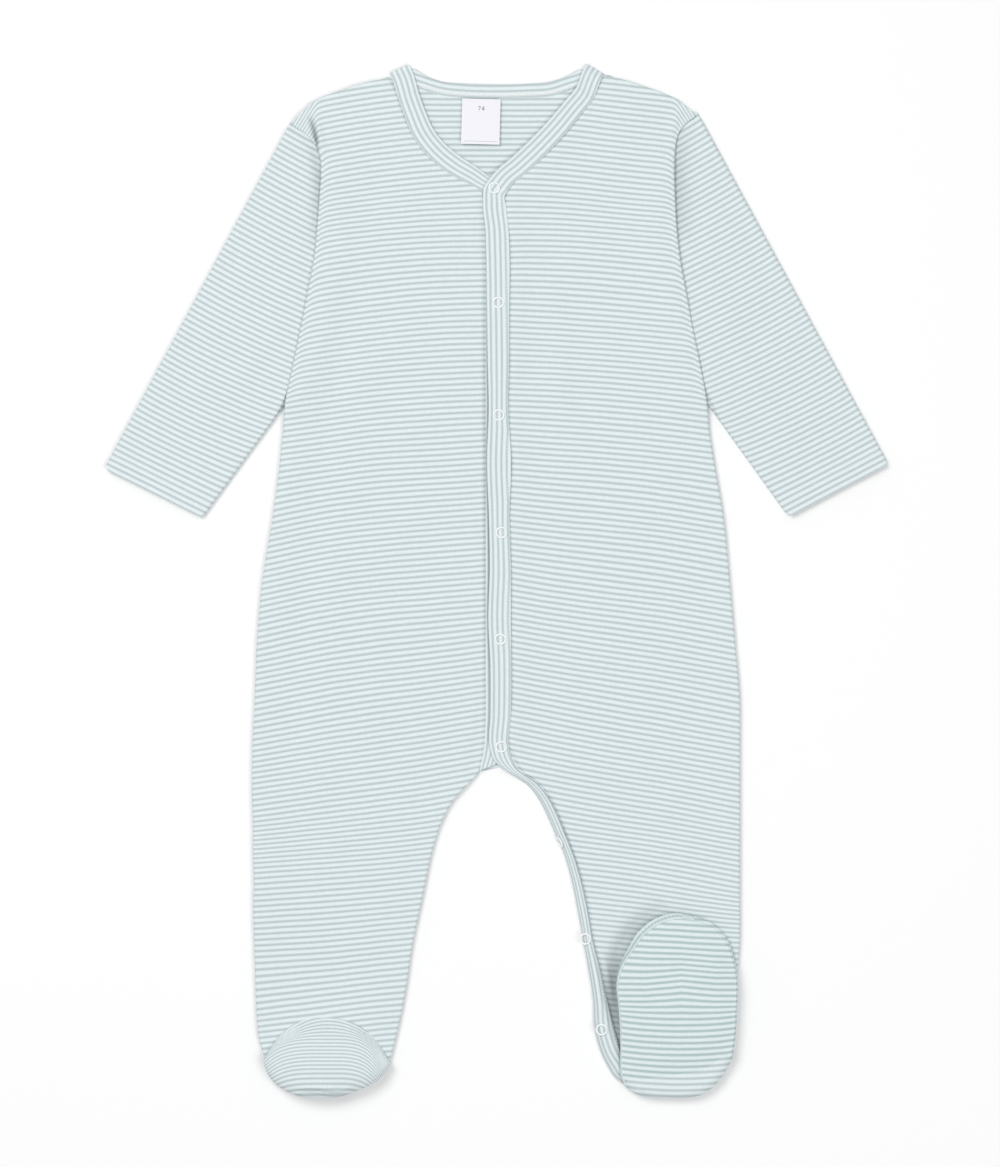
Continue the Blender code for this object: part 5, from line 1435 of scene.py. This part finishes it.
def folded_upper():
    rows = refine(FOLDED_FOOT, 10, "x y")
    lines = []
    for row in rows:
        spine, way, reach = foot_frame(row)
        keys = [(reach - row.rim * (1 - s) if s >= 0 else reach - row.rim + s, h) for s, h in RIM_LINE]
        keys += [(reach - inset, FOOT_FLOOR + rise) for inset, rise in RIM_FOOT]
        line = np.vstack([smooth_line(keys, RIM_POINTS), [(reach * 0.55, FOOT_FLOOR), (0.0, FOOT_FLOOR)]])
        lines.append(np.column_stack([spine + way * line[:, :1], line[:, 1]]))
    grid = np.array(lines)
    around = lengths_along(grid[:, 0])[:, None]
    down = np.array([lengths_along(line) for line in grid])
    v = mix(down - 3.0, level_places(grid)[..., 1], rising(grid[..., 0], *RIM_LEVEL))
    cloth = np.stack([np.broadcast_to(around, down.shape), v], axis=-1)
    return shell("left_foot_upper", grid, cloth, foot_jersey, 1)


foot_upper_left = folded_upper()
print("folded foot's upper:", len(foot_upper_left.data.polygons), "faces")


def folded_sole():
    """The sole in rings, from its edge in to its middle."""
    edge = [foot_edge(row, row.rim) for row in refine(FOLDED_FOOT[:-1], 8, "x y")] + [SOLE_CORNER]
    edge = np.array(edge + [point[:2] - np.array([0.0, 0.25]) for point in heel_seam[::-1]])
    shares = np.append(1 - np.linspace(0.0, 1.0, SOLE_RINGS)[:-1] ** 1.1, 0.0)
    rings = []
    for share in shares:
        spots = mix(SOLE_CENTRE, edge, share)
        out = ((spots - SOLE_CENTRE) / SOLE_CROWN_HALF) ** 2
        crown = FOOT_CROWN * np.maximum(1 - out.sum(axis=1), 0.0) * ease((1 - share) / 0.3)
        rings.append(np.column_stack([spots, SOLE_TOP + crown - SOLE_SINK * share**12]))
    grid = np.array(rings)
    x, y = grid[..., 0], grid[..., 1]
    deep, dent_x, dent_y, wide, long = SOLE_DENT
    relief = waves(x, y, 71, *SOLE_WAVES) + waves(x, y, 72, *SOLE_RIPPLES)
    relief += deep * np.exp(-(((x - dent_x) / wide) ** 2 + ((y - dent_y) / long) ** 2))
    grid[..., 2] += relief * ease((1 - shares[:, None]) * 6)
    return shell("left_sole", grid, level_places(grid), foot_jersey, inner=grid - UP * JERSEY, closed=True)


sole_left = folded_sole()
print("folded foot's sole:", len(sole_left.data.polygons), "faces")

# %% [markdown]
# ## The label and the snaps
# The label is a woven tape, sewn in at its top edge only, so its lower end curls up a little. The snaps are
# open prong rings, lacquered white: the cloth shows through the middle. Each ring is a rounded section turned
# round a circle, sunk a little into the band.

# %% Build the label and the snaps
LABEL_TOP = (-21.6, 304.6)
LABEL_SIZE = (24.2, 28.6)
LABEL_TILT = math.radians(-1.5)
LABEL_WALL = 0.4
LABEL_POINTS = (25, 31)
LABEL_CURL = 0.9    # how far its lower edge stands up
LABEL_BOW = 0.25    # and its middle there
LABEL_LOW = SECOND + 1.0
LABEL_ACROSS = np.array([math.cos(LABEL_TILT), math.sin(LABEL_TILT)])
LABEL_DOWN = np.array([math.sin(LABEL_TILT), -math.cos(LABEL_TILT)])
# Where the rings sit: row of the band's table, the share of the way to the next row and of the way across,
# and how far the ring is tipped. The first one on the leg is tipped right over, at the band's free edge.
SNAPS = table("name row share across tip", [
    ("snap_front_1", 0, 0.62, 0.40, 0), ("snap_front_2", 5, -0.12, 0.5), ("snap_front_3", 7, 0.12, 0.5),
    ("snap_front_4", 9, 0.28, 0.58), ("snap_front_5", 11, 0.42, 0.5), ("snap_front_6", 14, 0.10, 0.58),
    ("snap_leg_1", 22, -0.35, 0.0, 75), ("snap_leg_2", 25, -0.06, 0.42, 0), ("snap_leg_3", 28, -0.10, 0.42),
])
SNAP_TIPPED = 4.0   # height of the tipped ring's middle
SNAP_IN = 0.7       # and how far in from the band's free edge it sits
RING_OUTER = 3.75
RING_INNER = 2.6
RING_THICK = 0.55   # half the height of the ring's section
RING_RISE = 0.3     # and how far its middle lies above the snap's place
RING_STEPS = 48
SECTION_STEPS = 16


def on_label(across, down):
    """Where a point of the label lies that is this far along its top edge and down from it."""
    return np.array(LABEL_TOP) + LABEL_ACROSS * across + LABEL_DOWN * down


def label_tape():
    s, t = np.meshgrid(*(np.linspace(0.0, 1.0, count) for count in LABEL_POINTS))
    wide, long = LABEL_SIZE
    spots = on_label((s * wide)[..., None], (t * long)[..., None])
    curl = LABEL_CURL * rising(t, 0.55, 0.45) ** 2 + LABEL_BOW * np.sin(math.pi * s) * t
    grid = np.concatenate([spots, (LABEL_LOW + curl)[..., None]], axis=-1)
    cloth = np.stack([s * wide, -t * long], axis=-1)
    return shell("size_label", grid, cloth, tape, -1, LABEL_WALL)


label = label_tape()
print("label:", LABEL_SIZE, "mm")


def ring(name, centre, up, finish):
    """A rounded section, turned round a circle that faces up."""
    side = np.cross(up, AHEAD)
    side /= np.linalg.norm(side)
    fore = np.cross(up, side)
    around = np.linspace(0.0, 2 * math.pi, RING_STEPS + 1)[:-1]
    section = np.linspace(0.0, 2 * math.pi, SECTION_STEPS + 1)[:-1]
    middle, half = (RING_OUTER + RING_INNER) / 2, (RING_OUTER - RING_INNER) / 2
    out = middle + half * np.sign(np.cos(section)) * np.abs(np.cos(section)) ** 0.8
    rise = RING_THICK * np.sin(section) + RING_RISE
    spokes = side * np.cos(around)[:, None] + fore * np.sin(around)[:, None]
    points = (centre + spokes[:, None] * out[None, :, None] + up * rise[None, :, None]).reshape(-1, 3)
    faces = grid_faces(RING_STEPS + 1, SECTION_STEPS, closed=True) % len(points)
    return make_piece(name, points, faces.tolist(), points[:, :2], finish)


def snap_place(snap):
    """The middle of a ring on the band, and the direction that the band faces there."""
    way = 1 if snap.share >= 0 else -1
    here, there = (placket_row(PLACKET_TOP[row]) for row in (snap.row, snap.row + way))
    key = mix(here, there, abs(snap.share))
    left, right, crown = key[:3], key[3:6], key[9]
    if snap.tip:
        run = there - here
        out = np.array([run[1], -run[0], 0.0])
        out *= math.copysign(1.0, -out[0]) / np.linalg.norm(out)
        tip = math.radians(snap.tip)
        return np.array([*left[:2], SNAP_TIPPED]) - out * SNAP_IN, out * math.sin(tip) + UP * math.cos(tip)
    up = np.cross(right - left, AHEAD)
    up *= math.copysign(1.0, up[2]) / np.linalg.norm(up)
    round_up = 1 - abs(2 * snap.across - 1) ** CROWN_SHAPE
    return mix(left, right, snap.across) + up * (BAND * 1.05 + crown * round_up), up


snaps = {snap.name: ring(snap.name.replace("snap", "ring"), *snap_place(snap), lacquer) for snap in SNAPS}
print("rings:", len(snaps))


# %% [markdown]
# ## The stitching
# All the visible thread is rows of short stitches along a line, so one node tree makes them. It takes a line,
# puts a point on it every pitch, sets a small rounded stitch on each point along the line or a little turned
# from it, and lets their lengths differ slightly. Lines that share their sizes go through it together.

# %% A tree that sews along a line
STITCH_SIZES = ("Pitch", "Length", "Width", "Tilt")
STITCH_SEED = 5
SHORTEST = 0.85     # stitches, as a share of the length asked for
LONGEST = 1.1
STITCH_ROUND = 0.8  # a stitch's height as a share of its width


def sewing_tree():
    tree = bpy.data.node_groups.new("sew_along_a_line", "GeometryNodeTree")
    tree.interface.new_socket("Line", in_out="INPUT", socket_type="NodeSocketGeometry")
    for name in STITCH_SIZES:
        tree.interface.new_socket(name, in_out="INPUT", socket_type="NodeSocketFloat")
    tree.interface.new_socket("Thread", in_out="INPUT", socket_type="NodeSocketMaterial")
    tree.interface.new_socket("Stitches", in_out="OUTPUT", socket_type="NodeSocketGeometry")
    start, end = tree.nodes.new("NodeGroupInput"), tree.nodes.new("NodeGroupOutput")

    def node(kind, links, **settings):
        """A new node with its links, values and settings. What comes back is its first output in use."""
        made = tree.nodes.new(kind)
        for name, value in settings.items():
            setattr(made, name, value)
        for socket, source in links.items():
            if isinstance(source, bpy.types.NodeSocket):
                tree.links.new(source, made.inputs[socket])
            else:
                made.inputs[socket].default_value = source
        return next(socket for socket in made.outputs if socket.enabled)

    given = start.outputs
    curve = node("GeometryNodeMeshToCurve", {"Mesh": given["Line"]})
    dots = node("GeometryNodeResampleCurve", {"Curve": curve, "Length": given["Pitch"]}, mode="LENGTH")
    along = node("GeometryNodeInputTangent", {})
    turned = node("FunctionNodeAlignRotationToVector", {"Vector": along}, axis="X")
    tilt = node("ShaderNodeCombineXYZ", {"Z": given["Tilt"]})
    turns = {"Rotation": turned, "Rotate By": tilt}
    tilted = node("FunctionNodeRotateRotation", turns, rotation_space="LOCAL")
    uneven = node("FunctionNodeRandomValue", {"Min": SHORTEST, "Max": LONGEST, "Seed": STITCH_SEED})
    length = node("ShaderNodeMath", {0: given["Length"], 1: uneven}, operation="MULTIPLY")
    height = node("ShaderNodeMath", {0: given["Width"], 1: STITCH_ROUND}, operation="MULTIPLY")
    size = node("ShaderNodeCombineXYZ", {"X": length, "Y": given["Width"], "Z": height})
    bead = node("GeometryNodeMeshUVSphere", {"Segments": 8, "Rings": 5, "Radius": 0.5})
    laid = {"Points": dots, "Instance": bead, "Rotation": tilted, "Scale": size}
    real = node("GeometryNodeRealizeInstances", {"Geometry": node("GeometryNodeInstanceOnPoints", laid)})
    done = node("GeometryNodeSetMaterial", {"Geometry": real, "Material": given["Thread"]})
    tree.links.new(done, end.inputs["Stitches"])
    return tree


sewing = sewing_tree()
SEWING_INPUTS = {item.name: item.identifier for item in sewing.interface.items_tree if item.in_out == "INPUT"}
print("sewing tree:", len(sewing.nodes), "nodes, inputs", ", ".join(SEWING_INPUTS))

# %% [markdown]
# The lines are given flat and laid on whatever cloth is uppermost there, a little sunk, as thread is pulled
# in. Round the cuffs they follow the sleeve's own surface, and along the binding the groove that they pull
# in.


# %% Lines to sew along
def laid_on(pieces, line):
    """The line, lowered on to the uppermost of these pieces."""
    trees = []
    for piece in pieces:
        corners = [vertex.co for vertex in piece.data.vertices]
        trees.append(BVHTree.FromPolygons(corners, [tuple(face.vertices) for face in piece.data.polygons]))
    laid = []
    for x, y in np.asarray(line)[:, :2]:
        above = Vector(to_scene((x, y, 100.0)))
        hits = [tree.ray_cast(above, Vector((0, 0, -1)))[0] for tree in trees]
        heights = [hit.z / MM for hit in hits if hit is not None]
        if heights:
            laid.append((x, y, max(heights)))
    return np.array(laid)


def groove(grid, over, inset):
    """A line along a band at this distance from its seam edge."""
    line = []
    for section, across in zip(grid, over):
        face = section[: len(across)]
        line.append([np.interp(across[-1] - inset, across, face[:, axis]) for axis in range(3)])
    return np.array(line)


def beside(line, inset):
    """A flat line moved sideways, to the left of the way it runs."""
    line = np.asarray(line, float)[:, :2]
    run = np.gradient(line, axis=0)
    run /= np.linalg.norm(run, axis=1)[:, None]
    return line + inset * np.column_stack([-run[:, 1], run[:, 0]])


print("stitch width and length come from each row, thread:", thread.name)


def sew(name, lines, pitch, length, width, tilt=0.0):
    """Rows of stitches along these lines, as one plain mesh."""
    mesh = bpy.data.meshes.new(name)
    points, edges = [], []
    for line in lines:
        line = np.array(line)
        line[:, 2] = np.maximum(line[:, 2], width / 2)
        edges += [(len(points) + k, len(points) + k + 1) for k in range(len(line) - 1)]
        points += to_scene(line).tolist()
    mesh.from_pydata(points, edges, [])
    guide = add_object(name + "_line", mesh)
    modifier = guide.modifiers.new("sewing", "NODES")
    modifier.node_group = sewing
    sizes = (pitch * MM, length * MM, width * MM, math.radians(tilt))
    for size_name, size in zip(STITCH_SIZES, sizes):
        modifier[SEWING_INPUTS[size_name]] = size
    modifier[SEWING_INPUTS["Thread"]] = thread
    ready = guide.evaluated_get(bpy.context.evaluated_depsgraph_get())
    result = bpy.data.meshes.new_from_object(ready)
    result.name = name
    result.shade_smooth()
    guide.modifiers.remove(modifier)
    bpy.data.objects.remove(guide)
    made = add_object(name, result)
    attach(made, "root")
    print(f"{name}: {len(lines)} rows, {len(result.polygons)} faces")
    return made


# %% Sew
NECK_OPEN = 49.0    # the chain stitches stop this far from the middle of the neck
CHAIN = (1.5, 2.35, 3.2)
LEG_ROWS = slice(15, 20)
RIM_SEWN = ((9, 12), (15, 18))
LABEL_SEWN = (0.03, 0.5, 0.97)
back_seam = smooth_line([(row.sx, row.sy) for row in reversed(BAND_BACK)], 90)
cuff_right = sew("right_cuff_stitches", hems_right, 1.9, 1.2, 0.36)
cuff_left = sew("left_cuff_stitches", hems_left, 1.9, 1.2, 0.36)
top_line = groove(binding_grid, binding_over, SEW_GROOVE[0])
topstitch = sew("binding_stitches", [top_line], 1.9, 1.25, 0.42)
open_neck = back_seam[np.abs(back_seam[:, 0]) < NECK_OPEN]
chain = [laid_on([binding, back], beside(open_neck, inset)) for inset in CHAIN]
chain_up = sew("neck_chain_up", chain[::2], 1.45, 1.7, 0.62, 28.0)
chain_down = sew("neck_chain_down", chain[1:2], 1.45, 1.9, 0.62, -28.0)
leg_edge = [(row.rx, row.ry) for row in refine(PLACKET_TOP[LEG_ROWS], 6, "lx ly rx ry")]
leg_seam = laid_on([binding, front_left], beside(leg_edge, 0.35))
seam_edge_stitches = sew("leg_seam_stitches", [leg_seam], 1.0, 1.3, 0.55, 12.0)
rim = [foot_edge(row, row.rim * 0.45) for row in refine(FOLDED_FOOT, 6, "x y")]
rim_lines = [laid_on([foot_upper_left, sole_left], rim[6 * first : 6 * last]) for first, last in RIM_SEWN]
rim_stitches = sew("foot_rim_stitches", rim_lines, 2.4, 1.5, 0.4)
heel_line = laid_on([sole_left, back], beside(heel_seam[4:-3], 0.3))
heel_stitches = sew("heel_stitches", [heel_line], 1.8, 1.0, 0.26, 70.0)
label_top = [np.array(LABEL_TOP) + (LABEL_SIZE[0] * share, -1.3 - 0.55 * share) for share in LABEL_SEWN]
label_stitches = sew("label_stitches", [laid_on([label], label_top)], 2.0, 1.4, 0.35)

# %% [markdown]
# The label carries nothing but a plain size number and a thin line to write a name on. Both are flat
# strokes of ink that follow the tape's curl.

# %% Print the label
SIZE_STROKES = (((0.0, 1.0), (0.62, 1.0), (0.22, 0.0)), ((1.52, 0.0), (1.52, 1.0), (1.0, 0.32), (1.72, 0.32)))
SIZE_HEIGHT = 2.3
SIZE_PLACE = (10.2, 7.2)
WRITE_LINE = ((1.8, 26.8), (22.4, 26.8))
STROKE_WIDE = 0.36
LINE_WIDE = 0.14
INK_STEP = 1.5      # how far apart the ink's sections are, about
INK_OVER = 0.03
INK_UNDER = 0.02


def ink_bar(start, stop, wide):
    """Sections of a thin bar of ink from start to stop on the label."""
    start, stop = np.array(start), np.array(stop)
    length = np.linalg.norm(stop - start)
    way = (stop - start) / length
    side = np.array([-way[1], way[0]]) * wide / 2
    shares = np.linspace(0.0, 1.0, max(2, int(length / INK_STEP) + 1))[:, None]
    middle = mix(start - way * wide / 2, stop + way * wide / 2, shares)
    left, right = (laid_on([label], [on_label(*spot) for spot in middle + side * k]) for k in (1, -1))
    over, under = UP * INK_OVER, UP * INK_UNDER
    return np.stack([left + over, right + over, right - under, left - under], axis=1)


def strokes(name, lines, wide):
    """Flat strokes of ink on the label, a bar for each straight stretch."""
    points, faces = [], []
    for line in lines:
        for start, stop in zip(line, line[1:]):
            bar = ink_bar(start, stop, wide)
            faces += [[len(points) + k for k in face] for face in bar_faces(*bar.shape[:2])]
            points += bar.reshape(-1, 3).tolist()
    points = np.array(points)
    made = make_piece(name, points, faces, points[:, :2], ink)
    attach(made, "root")
    return made


def sized(stroke):
    return [(SIZE_PLACE[0] + x * SIZE_HEIGHT, SIZE_PLACE[1] - y * SIZE_HEIGHT) for x, y in stroke]


size_number = strokes("size_number", [sized(stroke) for stroke in SIZE_STROKES], STROKE_WIDE)
write_line = strokes("write_in_line", [WRITE_LINE], LINE_WIDE)
print("label print:", len(size_number.data.polygons) + len(write_line.data.polygons), "faces")

# %% [markdown]
# ## What carries what
# The suit has no joints, so every piece rides on the one body. Each stands for the solid of the same part,
# and the table below gives the size that each sheet of cloth was cut to.

# %% Pieces on their body
DRESSED = {
    "back": back, "front_right": front_right, "front_left": front_left, "sleeve_right": sleeve_right,
    "sleeve_left": sleeve_left, "placket_under": placket_under, "foot_upper_right": toe_right,
    "sole_right": sole_right, "foot_upper_left": foot_upper_left, "sole_left": sole_left, "label": label,
}
for node, piece in DRESSED.items():
    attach(piece, "root")
    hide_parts(node)
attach(binding, "root")
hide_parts("neck_band", "placket_top")
for name, piece in snaps.items():
    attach(piece, "root")
    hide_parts(name)
print("pieces that stand for solids:", len(DRESSED) + 1 + len(snaps))

# %% [markdown]
# The cuts are given as a maker would lay them on the table, before sewing: the widest and the longest
# measure in millimetres and the area in square metres, once round for the sleeves. The binding's cut is
# what shows of it.

# %% What each piece was cut to
CUTS = table("piece width length area held rests_on sewn_on", [
    (back, 306, 660, 0.147, "laid", [], []),
    (front_right, 158, 624, 0.0745, "laid", [back], []),
    (front_left, 158, 624, 0.0740, "laid", [back], []),
    (sleeve_right, 205, 252, 0.0352, "laid", [], [cuff_right]),
    (sleeve_left, 205, 256, 0.0360, "laid", [], [cuff_left]),
    (binding, 13.7, 901, None, "folded", [front_right, front_left, back],
     [topstitch, chain_up, chain_down, seam_edge_stitches, *snaps.values()]),
    (placket_under, 13.7, 361, None, "folded", [front_right], []),
    (toe_right, 96, 64, 0.0047, "gathered", [sole_right], []),
    (sole_right, 73, 98, 0.0061, "laid", [], []),
    (foot_upper_left, 80, 112, 0.0070, "folded", [front_left], [rim_stitches, heel_stitches]),
    (sole_left, 76, 106, 0.0065, "folded", [foot_upper_left], []),
    (label, 24.2, 28.6, None, "laid", [back], [label_stitches, size_number, write_line]),
])

# %% [markdown]
# ## Floor, light and camera
# A laid garment is lit evenly from above. A white floor, a bright even surround and two broad soft lights,
# the upper left one stronger, leave hardly any shadow, but enough of one side that creases and edges read.
# The camera stands far up with a long lens, so edges stay where they are whatever their height.

# %% Floor
FLOOR_HALF = 3.0
FLOOR_WHITE = 0.885
white = Finish("white_floor")
white.put(white.shader, {"Base Color": (FLOOR_WHITE, FLOOR_WHITE, FLOOR_WHITE, 1.0), "Roughness": 0.9})
white.put(white.shader, {"Specular IOR Level": 0.1})
ground = bpy.data.meshes.new("floor")
corners = [(x * FLOOR_HALF, y * FLOOR_HALF, 0.0) for x, y in ((-1, -1), (1, -1), (1, 1), (-1, 1))]
ground.from_pydata(corners, [], [(0, 1, 2, 3)])
ground.materials.append(white.material)
floor = add_object("floor", ground)
print("floor:", 2 * FLOOR_HALF, "m wide")


# %% Light
def soft_light(name, place, size, power):
    """A round soft light that looks at the suit's middle."""
    lamp = bpy.data.lights.new(name, "AREA")
    lamp.shape = "DISK"
    lamp.size = size
    lamp.energy = power
    holder = add_object(name, lamp)
    holder.location = place
    holder.rotation_euler = (-Vector(place)).to_track_quat("-Z", "Y").to_euler()
    return holder


SURROUND = 0.56
world = bpy.data.worlds.new("white_surround")
world.use_nodes = True
background = world.node_tree.nodes["Background"]
background.inputs["Color"].default_value = (1.0, 1.0, 1.0, 1.0)
background.inputs["Strength"].default_value = SURROUND
bpy.context.scene.world = world
key = soft_light("key", (-1.0, 0.9, 2.3), 1.4, 32.0)
fill = soft_light("fill", (1.0, -0.8, 2.3), 1.4, 18.0)
bpy.context.scene.view_settings.view_transform = "Standard"
print("surround", SURROUND, "key", key.data.energy, "W, fill", fill.data.energy, "W")

# %% Camera
VIEW_WIDE = 630.0
VIEW_TALL = VIEW_WIDE * 1167 / 1000
VIEW_MIDDLE = (2.2, -1.1)
CAMERA_UP = 4000.0
CLOTH_UP = 4.0      # the lens is worked out for this height of the cloth's face
SENSOR = 36.0
camera = bpy.data.cameras.new("camera")
camera.sensor_fit = "AUTO"
camera.sensor_width = SENSOR
camera.lens = SENSOR * (CAMERA_UP - CLOTH_UP) / VIEW_TALL
holder = add_object("camera", camera)
holder.location = to_scene((*VIEW_MIDDLE, CAMERA_UP))
bpy.context.scene.camera = holder
print(f"camera {CAMERA_UP * MM} m up, {camera.lens:.1f} mm lens")
